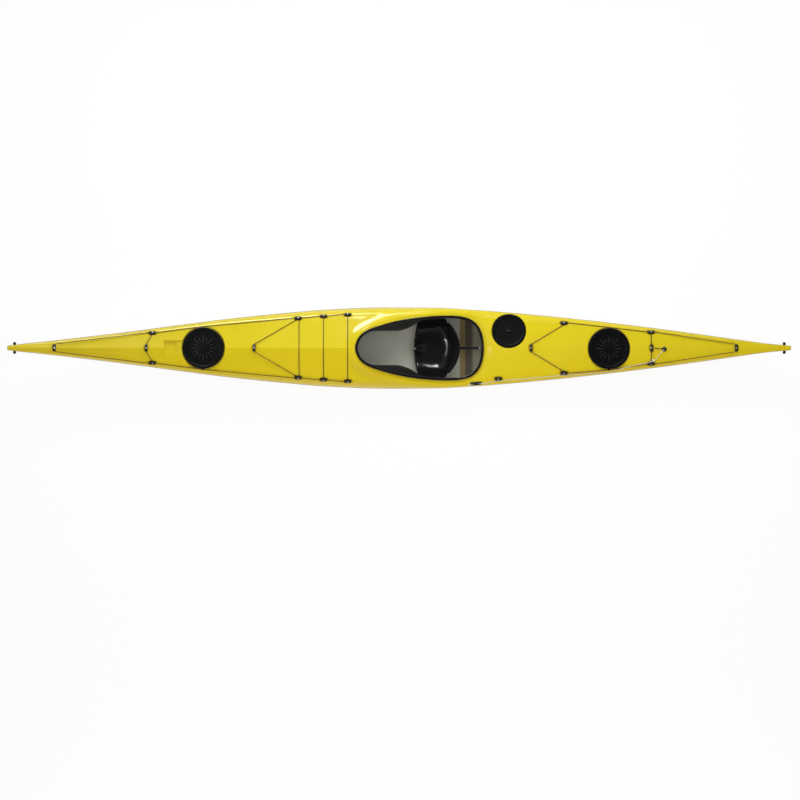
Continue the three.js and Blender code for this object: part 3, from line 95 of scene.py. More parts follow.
def maths(tree, operation, *values, clamp=False):
    """The output of one Math node; each value is a number or another node's output."""
    made = shader_node(tree, "ShaderNodeMath", operation=operation, use_clamp=clamp)
    for socket, value in zip(made.inputs, values):
        if isinstance(value, (int, float)):
            socket.default_value = value
        else:
            tree.links.new(value, socket)
    return made.outputs[0]


bpy.ops.object.select_all(action="DESELECT")
bpy.ops.mesh.primitive_plane_add(size=400, location=(0, 0, -0.0005))
floor = bpy.context.active_object
floor.name = "studio_floor"
bpy.ops.object.transform_apply(location=True, rotation=True, scale=True)
paper = bpy.data.materials.new("studio_paper")
paper.use_nodes = True
tree = paper.node_tree
tree.nodes.clear()
matt = shader_node(tree, "ShaderNodeBsdfDiffuse", Color=(0.9, 0.9, 0.9, 1))
glow = shader_node(tree, "ShaderNodeEmission", Color=(1, 1, 1, 1), Strength=PAGE_GLOW)
path = shader_node(tree, "ShaderNodeLightPath")
seen = maths(tree, "MAXIMUM", path.outputs["Is Camera Ray"], path.outputs["Is Glossy Ray"])
share = maths(tree, "MULTIPLY", seen, PAGE_SHARE)
both = shader_node(tree, "ShaderNodeMixShader", [(0, share), (1, matt.outputs[0]), (2, glow.outputs[0])])
shader_node(tree, "ShaderNodeOutputMaterial", [("Surface", both.outputs[0])])
floor.data.materials.append(paper)
print("floor:", floor.name)

# %% [markdown]
# The surround is white to the camera, and to the boat it is an even, warm tent of light. Glossy surfaces see
# that tent bright at the horizon and dark overhead, where the camera looks through it, so that the black seat
# stays black and the deck keeps its colour.

# %% Surround
TENT_MATT, TENT_HORIZON, TENT_ZENITH = 0.52, 0.85, 0.08  # its level for matt surfaces, and in reflections
world = bpy.data.worlds.new("studio_surround")
bpy.context.scene.world = world
world.use_nodes = True
tree = world.node_tree
tree.nodes.clear()
direction = shader_node(tree, "ShaderNodeTexCoord")
parts = shader_node(tree, "ShaderNodeSeparateXYZ", [(0, direction.outputs["Generated"])])
fall = shader_node(tree, "ShaderNodeMapRange", [("Value", parts.outputs["Z"])], From_Min=0.15, From_Max=0.85,
                   To_Min=TENT_HORIZON, To_Max=TENT_ZENITH)
path = shader_node(tree, "ShaderNodeLightPath")
level = shader_node(tree, "ShaderNodeMix", [(0, path.outputs["Is Glossy Ray"]), (3, fall.outputs[0])])
level.inputs[2].default_value = TENT_MATT
tent = shader_node(tree, "ShaderNodeBackground", [("Strength", level.outputs[0])], Color=(1, 0.92, 0.83, 1))
page = shader_node(tree, "ShaderNodeBackground", Color=(1, 1, 1, 1), Strength=1.0)
both = shader_node(tree, "ShaderNodeMixShader",
                   [(0, path.outputs["Is Camera Ray"]), (1, tent.outputs[0]), (2, page.outputs[0])])
shader_node(tree, "ShaderNodeOutputWorld", [("Surface", both.outputs[0])])
print("surround:", world.name)

# %% [markdown]
# The light comes from the starboard side: one soft box lights the deck, so that the port slope of the ridge is
# darker. A box overhead reaches down into the cockpit, and a weaker one from port keeps the shaded slope warm.
# These three are hidden from reflections, so that black parts stay black. The last three do the opposite: a long
# low strip shows as the narrow white line along the fore part of the starboard shoulder, and two small boxes
# as glints in the seat.

# %% Lamps
def soft_box(name, place, aim, size, power, colour=(1, 1, 1), mirrored=False):
    """A rectangular lamp that looks at a point; it lights matt surfaces, or shows in glossy ones alone."""
    data = bpy.data.lights.new(name, "AREA")
    data.shape = "RECTANGLE"
    data.size, data.size_y = size
    data.energy = power
    data.color = colour
    lamp = bpy.data.objects.new(name, data)
    lamp.location = place
    lamp.rotation_euler = (Vector(aim) - Vector(place)).to_track_quat("-Z", "Y").to_euler()
    lamp.visible_camera = False
    lamp.visible_diffuse = not mirrored
    lamp.visible_glossy = mirrored
    bpy.context.scene.collection.objects.link(lamp)


soft_box("key_box", (0.1, 2.2, 2.3), (0.1, 0, 0.2), (4.4, 1.0), 60, (0.91, 1, 0.86))
soft_box("top_box", (0.1, 0, 2.5), (0.1, 0, 0.2), (4.0, 1.0), 14, (0.98, 1, 0.96))
soft_box("fill_box", (0.2, -4.2, 1.4), (0.2, 0, 0.2), (6, 1.5), 35, (1, 0.80, 0.62))
soft_box("shoulder_strip", (-1.15, 3.2, 1.1), (-1.15, 0, 0.2), (2.9, 0.5), 125, mirrored=True)
soft_box("cheek_glint", (0.2, 2.2, 2.4), (0.2, 0, 0.1), (0.5, 0.3), 14, mirrored=True)
soft_box("back_glint", (-2.4, -0.2, 2.2), (0.2, 0, 0.1), (0.3, 0.9), 12, mirrored=True)
print("lamps:", [lamp.name for lamp in bpy.data.lights])

# %% [markdown]
# ## Small helpers
# Each operator of Blender works on what is selected, so the helpers first select one piece and nothing else.
# Doubles are merged before faces are turned outward, because an open seam could leave a part of them inward.

# %% Helpers that select, merge and modify
def only(*pieces):
    """Select these pieces alone and make the first one active."""
    bpy.ops.object.select_all(action="DESELECT")
    for piece in pieces:
        piece.select_set(True)
    bpy.context.view_layer.objects.active = pieces[0]


def from_points(name, points, faces=(), edges=()):
    """A mesh object from plain lists."""
    mesh = bpy.data.meshes.new(name)
    mesh.from_pydata([tuple(map(float, point)) for point in points], edges, faces)
    piece = bpy.data.objects.new(name, mesh)
    bpy.context.scene.collection.objects.link(piece)
    return piece


def merged(piece, gap=1e-5):
    """Merge doubles, unless the gap is 0, and turn the faces of a piece outward."""
    only(piece)
    bpy.ops.object.mode_set(mode="EDIT")
    bpy.ops.mesh.select_all(action="SELECT")
    if gap:
        bpy.ops.mesh.remove_doubles(threshold=gap)
    bpy.ops.mesh.normals_make_consistent(inside=False)
    bpy.ops.object.mode_set(mode="OBJECT")
    return piece


def modified(piece, kind, **values):
    """Add one modifier, set it and apply it."""
    only(piece)
    modifier = piece.modifiers.new(kind.title(), kind)
    for key, value in values.items():
        setattr(modifier, key, value)
    bpy.ops.object.modifier_apply(modifier=modifier.name)
    return piece


# %% [markdown]
# A cut is a boolean modifier that is applied at once. The faces that it leaves take a finish by number, so that
# a well cut in the yellow deck is yellow, and the cup joined on under it is bare laminate.

# %% Helpers that finish and cut
def coat(piece, *finishes, number=0):
    """Give a piece its finishes and all its faces the finish of one number."""
    piece.data.materials.clear()
    for material in finishes:
        piece.data.materials.append(material)
    piece.data.polygons.foreach_set("material_index", [number] * len(piece.data.polygons))
    return piece


def carve(piece, tool, operation="DIFFERENCE", number=0):
    """Cut a piece with a tool, or join the two, and throw the tool away; its faces take a finish by number."""
    before = len(piece.data.polygons)
    coat(tool, *piece.data.materials, number=number)
    modified(piece, "BOOLEAN", object=tool, operation=operation, solver="MANIFOLD")
    if len(piece.data.polygons) in (0, before):
        print("check this cut:", piece.name, tool.name, before, len(piece.data.polygons))
    bpy.data.objects.remove(tool)
    return piece


def smooth(piece, angle=35):
    """Smooth shading that keeps every edge sharper than the angle."""
    only(piece)
    bpy.ops.object.shade_smooth_by_angle(angle=math.radians(angle))
    return piece


# %% [markdown]
# A piece starts as a skin through rings of points, as a primitive, or as a profile turned on a lathe.

# %% Helpers that start a shape
def loft(name, rings, closed=True, looped=False, capped=False):
    """A skin through rings of equal count: closed rings, a looped row of rings, or capped ends."""
    rings = np.asarray(rings, float)
    rows, count = rings.shape[:2]
    around = count if closed else count - 1
    faces = []
    for i in range(rows if looped else rows - 1):
        for j in range(around):
            a, b = i * count, (i + 1) % rows * count
            k = (j + 1) % count
            faces.append((a + j, a + k, b + k, b + j))
    if capped:
        faces.append(tuple(range(count))[::-1])
        faces.append(tuple(range((rows - 1) * count, rows * count)))
    return from_points(name, rings.reshape(-1, 3), faces)


def cylinder(name, radius, low, high, place=(0, 0), sides=96, turn=None):
    """An upright cylinder primitive between two heights, turned and placed by a matrix if one is given."""
    bpy.ops.object.select_all(action="DESELECT")
    bpy.ops.mesh.primitive_cylinder_add(vertices=sides, radius=radius, depth=high - low,
                                        location=(place[0], place[1], (low + high) / 2))
    piece = bpy.context.active_object
    piece.name = name
    bpy.ops.object.transform_apply(location=True, rotation=True, scale=True)
    if turn is not None:
        piece.data.transform(turn)
    return piece


def box_between(name, low, high):
    """A box primitive between two corners."""
    low, high = Vector(low), Vector(high)
    bpy.ops.object.select_all(action="DESELECT")
    bpy.ops.mesh.primitive_cube_add(size=1, location=(low + high) / 2)
    piece = bpy.context.active_object
    piece.name = name
    piece.scale = high - low
    bpy.ops.object.transform_apply(location=True, rotation=True, scale=True)
    return piece


def turned(name, profile, steps=96, turn=None):
    """A profile of (radius, height) spun round the upright axis, as on a lathe."""
    piece = from_points(name, [(r, 0, z) for r, z in profile],
                        edges=[(i, i + 1) for i in range(len(profile) - 1)])
    only(piece)
    bpy.ops.object.mode_set(mode="EDIT")
    bpy.ops.mesh.select_all(action="SELECT")
    bpy.ops.mesh.spin(steps=steps, angle=2 * math.pi, center=(0, 0, 0), axis=(0, 0, 1))
    bpy.ops.object.mode_set(mode="OBJECT")
    merged(piece, 1e-6)
    if turn is not None:
        piece.data.transform(turn)
    return piece


# %% [markdown]
# A piece may be several meshes in one. When it is finished it is handed to the frame, with the body that it
# rides on and the parts of the rigid model that it stands for.

# %% Helpers that hand a piece over
def joined(name, pieces):
    """Several meshes as one object."""
    only(*pieces)
    bpy.ops.object.join()
    pieces[0].name = name
    return pieces[0]


def dress(piece, body, finishes, nodes=()):
    """Name the body a piece rides on, its materials and the nodes it stands for."""
    if finishes:
        coat(piece, *finishes)
    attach(piece, body)
    if nodes:
        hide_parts(*nodes)
    print(f"{piece.name}: {len(piece.data.polygons)} faces on {body}")
    return piece


# %% [markdown]
# ## Finishes
# Every finish reads the place on the piece itself, so its grain has a real size. Three effects serve several
# finishes and are built once as node groups: a fine grain for moulded surfaces, a slow mottle for colour and
# gloss that vary over a hand-laid shell, and a woven cloth for laminate and fabric.

# %% Shared effects
def effect(name, inputs, output):
    """An empty shader group with number inputs and one number output; returns it and its two end nodes."""
    group = bpy.data.node_groups.new(name, "ShaderNodeTree")
    for label, value in inputs.items():
        socket = group.interface.new_socket(name=label, in_out="INPUT", socket_type="NodeSocketFloat")
        socket.default_value = value
    group.interface.new_socket(name=output, in_out="OUTPUT", socket_type="NodeSocketFloat")
    return group, group.nodes.new("NodeGroupInput"), group.nodes.new("NodeGroupOutput")


def object_noise(group, scale, detail):
    """A noise that reads the place on the piece itself."""
    place = shader_node(group, "ShaderNodeTexCoord")
    return shader_node(group, "ShaderNodeTexNoise", [("Vector", place.outputs["Object"]), ("Scale", scale)],
                       Detail=detail).outputs["Fac"]


grain, grain_in, grain_out = effect("moulded_grain", {"Scale": 900}, "Height")
grain.links.new(object_noise(grain, grain_in.outputs["Scale"], 3.0), grain_out.inputs["Height"])

mottle, mottle_in, mottle_out = effect("slow_mottle", {"Scale": 3, "Contrast": 1}, "Mask")
centred = maths(mottle, "SUBTRACT", object_noise(mottle, mottle_in.outputs["Scale"], 5.0), 0.5)
spread = maths(mottle, "MULTIPLY", centred, mottle_in.outputs["Contrast"])
mottle.links.new(maths(mottle, "ADD", spread, 0.5, clamp=True), mottle_out.inputs["Mask"])

weave, weave_in, weave_out = effect("woven_cloth", {"Threads": 250}, "Height")
place = shader_node(weave, "ShaderNodeTexCoord")
axes = shader_node(weave, "ShaderNodeSeparateXYZ", [(0, place.outputs["Object"])])
slant = maths(weave, "ADD", axes.outputs["Y"], axes.outputs["Z"])
waves = []
for source in (axes.outputs["X"], slant):
    turns = maths(weave, "MULTIPLY", source, weave_in.outputs["Threads"])
    waves.append(maths(weave, "SINE", maths(weave, "MULTIPLY", turns, math.pi)))
over = maths(weave, "MULTIPLY", *waves)
weave.links.new(maths(weave, "MULTIPLY_ADD", over, 0.5, 0.5), weave_out.inputs["Height"])
print("effects:", grain.name, mottle.name, weave.name)

# %% [markdown]
# A finish is one Principled shader. Its colour mixes two close tones by a mask, its gloss varies a little, and
# a bump gives it relief. The values that are the same all over sit on the shader's own sockets.

# %% A finish between two tones
def placed_group(tree, group, **values):
    """A group node with its own values."""
    node = tree.nodes.new("ShaderNodeGroup")
    node.node_tree = group
    for key, value in values.items():
        node.inputs[key].default_value = value
    return node


def pattern(group, **values):
    """A relief for a finish: one shared effect with its own values."""
    return lambda tree: placed_group(tree, group, **values).outputs["Height"]


def finish(name, dark, light, gloss, relief, mask=None, bump=0.1, distance=0.0003, metallic=0.0, specular=0.5):
    """A Principled material between two tones and two roughness values, with a bump."""
    material = bpy.data.materials.new(name)
    material.use_nodes = True
    tree = material.node_tree
    shader = tree.nodes["Principled BSDF"]
    shader.inputs["Metallic"].default_value = metallic
    shader.inputs["Specular IOR Level"].default_value = specular
    mask = mask(tree) if mask else placed_group(tree, mottle, Scale=3, Contrast=1.4).outputs["Mask"]
    tone = shader_node(tree, "ShaderNodeMix", data_type="RGBA")
    tone.inputs[6].default_value = (*dark, 1)
    tone.inputs[7].default_value = (*light, 1)
    tree.links.new(mask, tone.inputs[0])
    tree.links.new(tone.outputs[2], shader.inputs["Base Color"])
    rough = shader_node(tree, "ShaderNodeMapRange", [("Value", mask)], To_Min=gloss[0], To_Max=gloss[1])
    tree.links.new(rough.outputs[0], shader.inputs["Roughness"])
    raised = shader_node(tree, "ShaderNodeBump", [("Height", relief(tree))], Strength=bump, Distance=distance)
    tree.links.new(raised.outputs[0], shader.inputs["Normal"])
    return material


# %% [markdown]
# Gelcoat comes out of a polished mould, so it is smooth and has hardly any grain. The seat and the coaming are
# as smooth and black. Inside, the bare laminate shows the threads of the glass cloth.

# %% Finishes of the shells
POLISHED = {"relief": pattern(grain, Scale=160), "bump": 0.03, "distance": 0.0004}
yellow = finish("yellow_gelcoat", (0.72, 0.57, 0.009), (0.78, 0.63, 0.013), (0.15, 0.21), specular=0.35,
                **POLISHED)
white = finish("white_gelcoat", (0.77, 0.79, 0.8), (0.84, 0.85, 0.86), (0.10, 0.18), **POLISHED)
band_black = finish("black_joint_tape", (0.012, 0.017, 0.014), (0.03, 0.036, 0.032), (0.25, 0.4),
                    pattern(grain, Scale=700), bump=0.15)
gloss_black = finish("black_gelcoat", (0.004, 0.004, 0.005), (0.012, 0.012, 0.013), (0.08, 0.18), **POLISHED)
laminate = finish("bare_laminate", (0.46, 0.47, 0.43), (0.60, 0.61, 0.56), (0.35, 0.55),
                  pattern(weave, Threads=220), bump=0.5, distance=0.0004)
print("shell finishes:", [material.name for material in (yellow, white, band_black, gloss_black, laminate)])

# %% [markdown]
# The fittings are moulded plastic and rubber with a fine grain, and the back band is of woven cloth. The ribs of
# the hatch covers and the day hatch's grip bar get a second, paler rubber, a painted highlight along them.

# %% Finishes of the fittings
plastic = finish("black_moulded_plastic", (0.010, 0.010, 0.011), (0.024, 0.024, 0.026), (0.35, 0.5),
                 pattern(grain, Scale=1800), bump=0.3, distance=0.0002, specular=0.25)
rubber = finish("hatch_rubber", (0.001, 0.0018, 0.0025), (0.0035, 0.005, 0.006), (0.42, 0.58),
                pattern(grain, Scale=1200), bump=0.3, specular=0.12)
# A paler rubber that paints a highlight on the ribs of the covers.
rib_highlight_rubber = finish("rib_highlight_rubber", (0.022, 0.026, 0.028), (0.042, 0.047, 0.05), (0.4, 0.55),
                     pattern(grain, Scale=1200), bump=0.3, specular=0.3)
fabric = finish("padded_fabric", (0.003, 0.003, 0.004), (0.012, 0.012, 0.015), (0.6, 0.8),
                pattern(weave, Threads=700), bump=0.6, distance=0.0005, specular=0.1)
webbing = finish("black_webbing", (0.004, 0.004, 0.005), (0.014, 0.014, 0.017), (0.5, 0.7),
                 pattern(weave, Threads=900), bump=0.7, distance=0.0005, specular=0.15)
steel = finish("polished_steel", (0.78, 0.78, 0.79), (0.9, 0.9, 0.91), (0.3, 0.45), pattern(grain, Scale=2500),
               metallic=1.0, bump=0.1, distance=0.0001)
print("fitting finishes:", [material.name for material in (plastic, rubber, rib_highlight_rubber, fabric, webbing, steel)])

# %% [markdown]
# A braided cord shows two sets of crossing strands. They follow the cord's own map, which counts turns round it
# and metres along it, so that they keep their slant wherever the cord bends.

# %% Finishes of the cords
STRANDS_ROUND, STRANDS_ALONG = 8 * math.pi, 2200  # radians of strand in a turn, and in a metre


def braid(tree):
    """Two sets of crossing strands that follow a cord's own map."""
    along = shader_node(tree, "ShaderNodeUVMap")
    parts = shader_node(tree, "ShaderNodeSeparateXYZ", [(0, along.outputs[0])])
    strands = []
    for hand in (1, -1):
        round_it = maths(tree, "MULTIPLY", parts.outputs["X"], hand * STRANDS_ROUND)
        slanted = maths(tree, "MULTIPLY_ADD", parts.outputs["Y"], STRANDS_ALONG, round_it)
        strands.append(maths(tree, "SINE", slanted))
    return maths(tree, "MULTIPLY_ADD", maths(tree, "MAXIMUM", *strands), 0.5, 0.5, clamp=True)


# The dark cord's brown is partly its own dark colour and partly painted warm light reflected from the yellow deck.
dark_cord_painted_bounce = finish("dark_braided_cord_painted_bounce", (0.05, 0.022, 0.007), (0.17, 0.080, 0.028), (0.7, 0.85), braid,
                   mask=braid, bump=0.9, distance=0.0006)
white_cord = finish("white_braided_cord", (0.5, 0.48, 0.43), (0.86, 0.85, 0.82), (0.6, 0.8), braid, mask=braid,
                    bump=0.9, distance=0.0005)
print("cord finishes:", dark_cord_painted_bounce.name, white_cord.name)

# %% [markdown]
# Behind the seat, strips cross the laminate inside the hull. First comes tan tape, then a dark band of painted
# shade where the back band's shadow falls, and aft of that a darker, browner tint. A colour ramp places them
# along the boat, and its colours darken a copy of the laminate.

# %% Laminate with tape and painted shade
TAPE_AND_SHADE_FROM, TAPE_AND_SHADE_TO = 0.40, 0.56  # metres aft of the middle of the boat
CLEAR, AFT_BROWN = (1, 1, 1, 1), (0.66, 0.62, 0.52, 1)
# The tan stops are tape. The dark stops at 0.37 and 0.60 are painted shade, and the last stops tint the laminate
# aft of them darker and browner.
TAPE_AND_SHADE_STOPS = [(0.08, CLEAR), (0.12, (0.62, 0.44, 0.20, 1)), (0.30, (0.60, 0.42, 0.20, 1)),
          (0.37, (0.20, 0.16, 0.12, 1)), (0.60, (0.22, 0.18, 0.13, 1)), (0.72, AFT_BROWN)]
laminate_tape_shade = laminate.copy()
laminate_tape_shade.name = "laminate_with_tape_and_painted_shade"
tree = laminate_tape_shade.node_tree
place = shader_node(tree, "ShaderNodeTexCoord")
along = shader_node(tree, "ShaderNodeSeparateXYZ", [(0, place.outputs["Object"])])
reach = shader_node(tree, "ShaderNodeMapRange", [("Value", along.outputs["X"])], From_Min=TAPE_AND_SHADE_FROM,
                    From_Max=TAPE_AND_SHADE_TO)
tape_shade_ramp = shader_node(tree, "ShaderNodeValToRGB", [(0, reach.outputs[0])])
tape_shade_ramp.color_ramp.elements[0].color = CLEAR
tape_shade_ramp.color_ramp.elements[1].color = AFT_BROWN
for stop, colour in TAPE_AND_SHADE_STOPS:
    tape_shade_ramp.color_ramp.elements.new(stop).color = colour
shader = tree.nodes["Principled BSDF"]
tinted = shader_node(tree, "ShaderNodeMix", data_type="RGBA", blend_type="MULTIPLY")
tinted.inputs[0].default_value = 1
tree.links.new(shader.inputs["Base Color"].links[0].from_socket, tinted.inputs[6])
tree.links.new(tape_shade_ramp.outputs[0], tinted.inputs[7])
tree.links.new(tinted.outputs[2], shader.inputs["Base Color"])
print("finishes:", len(bpy.data.materials))

# %% [markdown]
# ## The lines of the boat
# A boat is drawn as curves along its length: half breadth, joint line, keel and the crown of the deck. Each is
# a short table of shares, and one smooth curve runs through its rows without swinging past them. The rigid
# model uses the same tables with few stations; here the same curves are sampled finely.

# %% Curves through tables
LENGTH, BEAM = 5.380, 0.556
SHEER_LOW, BOW_RISE, STERN_RISE, CROWN = 0.168, 0.321, 0.187, 0.168
WALL, FLANGE, KEEL_FLAT = 0.004, 0.012, 0.035


def through(rows):
    """A monotone cubic through [share, value] rows, for one number or an array."""
    at, value = np.array(rows, float).T
    steps = np.diff(value) / np.diff(at)
    before, after = np.r_[steps[:1], steps], np.r_[steps, steps[-1:]]
    total = np.where(before + after == 0, 1, before + after)
    slopes = np.where(before * after > 0, 2 * before * after / total, 0)

    def curve(share):
        share = np.asarray(share, float)
        i = np.clip(np.searchsorted(at, share) - 1, 0, len(at) - 2)
        run = at[i + 1] - at[i]
        t = np.clip((share - at[i]) / run, 0, 1)
        u = 1 - t
        return (value[i] * (1 + 2 * t) * u * u + slopes[i] * run * t * u * u
                + value[i + 1] * (1 + 2 * u) * t * t - slopes[i + 1] * run * u * t * t)
    return curve


def mix(a, b, share):
    return a + (b - a) * share


def fade(share):
    share = np.clip(share, 0, 1)
    return share * share * (3 - 2 * share)


# %% [markdown]
# The tables run from the bow, 0, to the stern, 1, and give shares of the beam, of a rise or of the deck's crown.
# The two sections run from the middle of the deck, 0, to its edge, 1.

# %% Tables of the boat
breadth = through([
    [0, 0.05], [0.008, 0.072], [0.04, 0.138], [0.09, 0.248], [0.15, 0.388], [0.22, 0.568], [0.28, 0.716],
    [0.35, 0.856], [0.41, 0.95], [0.48, 1], [0.54, 0.995], [0.6, 0.935], [0.67, 0.824], [0.74, 0.687],
    [0.82, 0.504], [0.88, 0.349], [0.935, 0.198], [0.975, 0.0935], [0.994, 0.062], [1, 0.045]])
bow_rise = through([
    [0, 1], [0.03, 0.847], [0.08, 0.653], [0.13, 0.511], [0.18, 0.411], [0.24, 0.318], [0.3, 0.227],
    [0.36, 0.153], [0.42, 0.087], [0.48, 0.031], [0.53, 0.006], [0.58, 0]])
stern_rise = through([
    [0.58, 0], [0.64, 0.033], [0.7, 0.08], [0.76, 0.14], [0.82, 0.22], [0.88, 0.337], [0.92, 0.47],
    [0.95, 0.62], [0.975, 0.8], [1, 1]])
bow_keel = through([
    [0, 0.957], [0.0106, 0.887], [0.045, 0.642], [0.081, 0.385], [0.12, 0.274], [0.185, 0.191], [0.23, 0.135],
    [0.28, 0.108], [0.33, 0.08], [0.38, 0.05], [0.43, 0.02], [0.47, 0]])
stern_keel = through([
    [0.64, 0], [0.69, 0.01], [0.74, 0.03], [0.79, 0.055], [0.84, 0.08], [0.88, 0.101], [0.915, 0.141],
    [0.937, 0.185], [0.953, 0.287], [0.972, 0.55], [0.991, 0.844], [1, 0.955]])
deck_crown = through([
    [0, 0.14], [0.03, 0.28], [0.08, 0.45], [0.13, 0.555], [0.18, 0.585], [0.22, 0.59], [0.28, 0.665],
    [0.34, 0.82], [0.4, 0.94], [0.435, 1], [0.46, 0.985], [0.49, 0.8], [0.52, 0.66], [0.56, 0.49],
    [0.6, 0.39], [0.63, 0.415], [0.66, 0.445], [0.7, 0.435], [0.76, 0.395], [0.82, 0.36], [0.88, 0.315],
    [0.935, 0.215], [0.975, 0.165], [1, 0.12]])
fore_section = through([
    [0, 1], [0.3, 0.82], [0.6, 0.645], [0.8, 0.53], [0.88, 0.44], [0.94, 0.29], [0.98, 0.12], [1, 0]])
aft_section = through([
    [0, 1], [0.3, 0.91], [0.6, 0.79], [0.8, 0.66], [0.88, 0.54], [0.94, 0.36], [0.98, 0.15], [1, 0]])
aft_deck = through([[0.46, 0], [0.6, 1]])
print("share of the beam at the middle:", round(float(breadth(0.5)), 3))

# %% [markdown]
# With sizes in metres the tables become the boat: its half breadth, the height of its joint and of its keel.

# %% Breadth, joint and keel
RISES_MEET, KEEL_FROM, KEEL_TO = 0.58, 0.47, 0.64  # where the joint is lowest, and where the keel lies flat


def half_breadth(station):
    return BEAM / 2 * breadth(station)


def sheer(station):
    return SHEER_LOW + np.where(np.asarray(station) < RISES_MEET, BOW_RISE * bow_rise(station),
                                STERN_RISE * stern_rise(station))


def keel(station):
    station = np.asarray(station)
    bow, stern = (SHEER_LOW + BOW_RISE) * bow_keel(station), (SHEER_LOW + STERN_RISE) * stern_keel(station)
    return np.where(station < KEEL_FROM, bow, np.where(station > KEEL_TO, stern, 0.0))


def station_of(x):
    return x / LENGTH + 0.5


print("beam at the cockpit:", round(2 * float(half_breadth(0.5)), 3), "m")

# %% [markdown]
# The cockpit is a keyhole: an outline through a table of points, as a draughtsman's spline runs past pins.
# The same outline places the coaming, cuts the deck and sweeps the deck up in a collar, so all three agree.

# %% Cockpit outline
COCKPIT_FRONT, COCKPIT_LENGTH, COCKPIT_HALF = -0.306, 0.887, 0.224
COAMING_FRONT, COAMING_REAR = 0.371, 0.231
LIP_WIDTH, LIP_THICK, RISER_THICK, RISER_DEPTH = 0.014, 0.006, 0.004, 0.022
COLLAR, BRACE_WIDTH, BRACE_SLOPE = 0.078, 0.052, 0.35
outline_shares = [
    [0, 0], [0.012, 0.21], [0.045, 0.41], [0.1, 0.56], [0.19, 0.69], [0.3, 0.81], [0.42, 0.905],
    [0.56, 0.97], [0.71, 1], [0.82, 0.975], [0.9, 0.88], [0.955, 0.69], [0.988, 0.4], [1, 0]]
coaming_height = through([
    [0, 1], [0.075, 0.88], [0.187, 0.65], [0.28, 0.465], [0.358, 0.33], [0.56, 0.185], [0.753, 0.065],
    [0.913, 0.007], [1, 0]])
stand = through([[0, 0], [0.12, 1], [1, 1]])
brace_width = through([
    [0, 0], [0.1, 0.02], [0.195, 0.44], [0.27, 0.8], [0.33, 1], [0.39, 0.92], [0.443, 0.62], [0.5, 0.2],
    [0.53, 0], [1, 0]])


def spline_loop(pins, count):
    """A closed centripetal spline through pins, walked in even steps; also gives its outward normals."""
    pins = np.array(pins, float)
    fine = []
    for i in range(len(pins)):
        p0, p1, p2, p3 = (pins[(i + step) % len(pins)] for step in (-1, 0, 1, 2))
        d0, d1, d2 = (math.sqrt(np.linalg.norm(b - a)) for a, b in ((p0, p1), (p1, p2), (p2, p3)))
        out_of = ((p1 - p0) / d0 - (p2 - p0) / (d0 + d1) + (p2 - p1) / d1) * d1
        into = ((p2 - p1) / d1 - (p3 - p1) / (d1 + d2) + (p3 - p2) / d2) * d1
        for t in np.linspace(0, 1, 24, endpoint=False):
            fine.append((2 * t**3 - 3 * t**2 + 1) * p1 + (t**3 - 2 * t**2 + t) * out_of
                        + (3 * t**2 - 2 * t**3) * p2 + (t**3 - t**2) * into)
    fine = np.array(fine + fine[:1])
    walked = np.r_[0, np.cumsum(np.linalg.norm(np.diff(fine, axis=0), axis=1))]
    even = np.linspace(0, walked[-1], count, endpoint=False)
    points = np.stack([np.interp(even, walked, fine[:, k]) for k in (0, 1)], axis=1)
    tangents = np.roll(points, -1, axis=0) - np.roll(points, 1, axis=0)
    tangents /= np.linalg.norm(tangents, axis=1)[:, None]
    return points, np.stack([-tangents[:, 1], tangents[:, 0]], axis=1)


pins = [(COCKPIT_FRONT + COCKPIT_LENGTH * a, COCKPIT_HALF * s) for a, s in outline_shares]
pins += [(x, -y) for x, y in pins[-2:0:-1]]
outline, outline_normals = spline_loop(pins, 240)
print("cockpit outline:", len(outline), "points")

# %% [markdown]
# The coaming stands a little over the deck and rises towards its front. The deck is swept up to it: the nearer a
# point lies to the outline, the more its height comes from the coaming's foot instead of the plain deck.

# %% Heights of the coaming and the deck
COAMING_STAND = (0.012, 0.018)  # how far the coaming's top stands over the skin, at its front and further aft


def along_cockpit(x):
    return np.clip((x - COCKPIT_FRONT) / COCKPIT_LENGTH, 0, 1)


def coaming_top(x):
    return mix(COAMING_REAR, COAMING_FRONT, coaming_height(along_cockpit(x)))


def coaming_base(x):
    return coaming_top(x) - mix(*COAMING_STAND, stand(along_cockpit(x)))


def outside_coaming(x, y):
    """How far points lie outside the cockpit's outline, and 0 inside it."""
    x, y = np.broadcast_arrays(np.asarray(x, float), np.asarray(y, float))
    points = np.stack([x.ravel(), y.ravel()], axis=1)
    a, b = outline, np.roll(outline, -1, axis=0)
    edge = b - a
    nearest = np.full(len(points), np.inf)
    inside = np.zeros(len(points), bool)
    for start, step, end in zip(a, edge, b):
        t = np.clip(((points - start) @ step) / (step @ step), 0, 1)
        nearest = np.minimum(nearest, np.linalg.norm(points - start - t[:, None] * step, axis=1))
        crosses = (start[1] > points[:, 1]) != (end[1] > points[:, 1])
        if abs(step[1]) > 1e-12:
            inside ^= crosses & (points[:, 0] < start[0] + step[0] * (points[:, 1] - start[1]) / step[1])
    return np.where(inside, 0, nearest).reshape(x.shape)


def deck_height(station, side):
    """Height of the deck's skin at a station and a signed share of the half breadth."""
    station, side = np.broadcast_arrays(np.asarray(station, float), np.asarray(side, float))
    section = mix(fore_section(abs(side)), aft_section(abs(side)), aft_deck(station))
    plain = sheer(station) + FLANGE + (CROWN * deck_crown(station) - FLANGE) * np.maximum(section, 0)
    x = (station - 0.5) * LENGTH
    gap = outside_coaming(x, half_breadth(station) * side)
    return mix(coaming_base(x), plain, fade(gap / COLLAR))


def deck_at(x, y):
    station = station_of(np.asarray(x, float))
    return deck_height(station, np.clip(np.asarray(y, float) / half_breadth(station), -1, 1))


print("deck at the front hatch:", round(float(deck_at(-1.35, 0)), 3), "m")

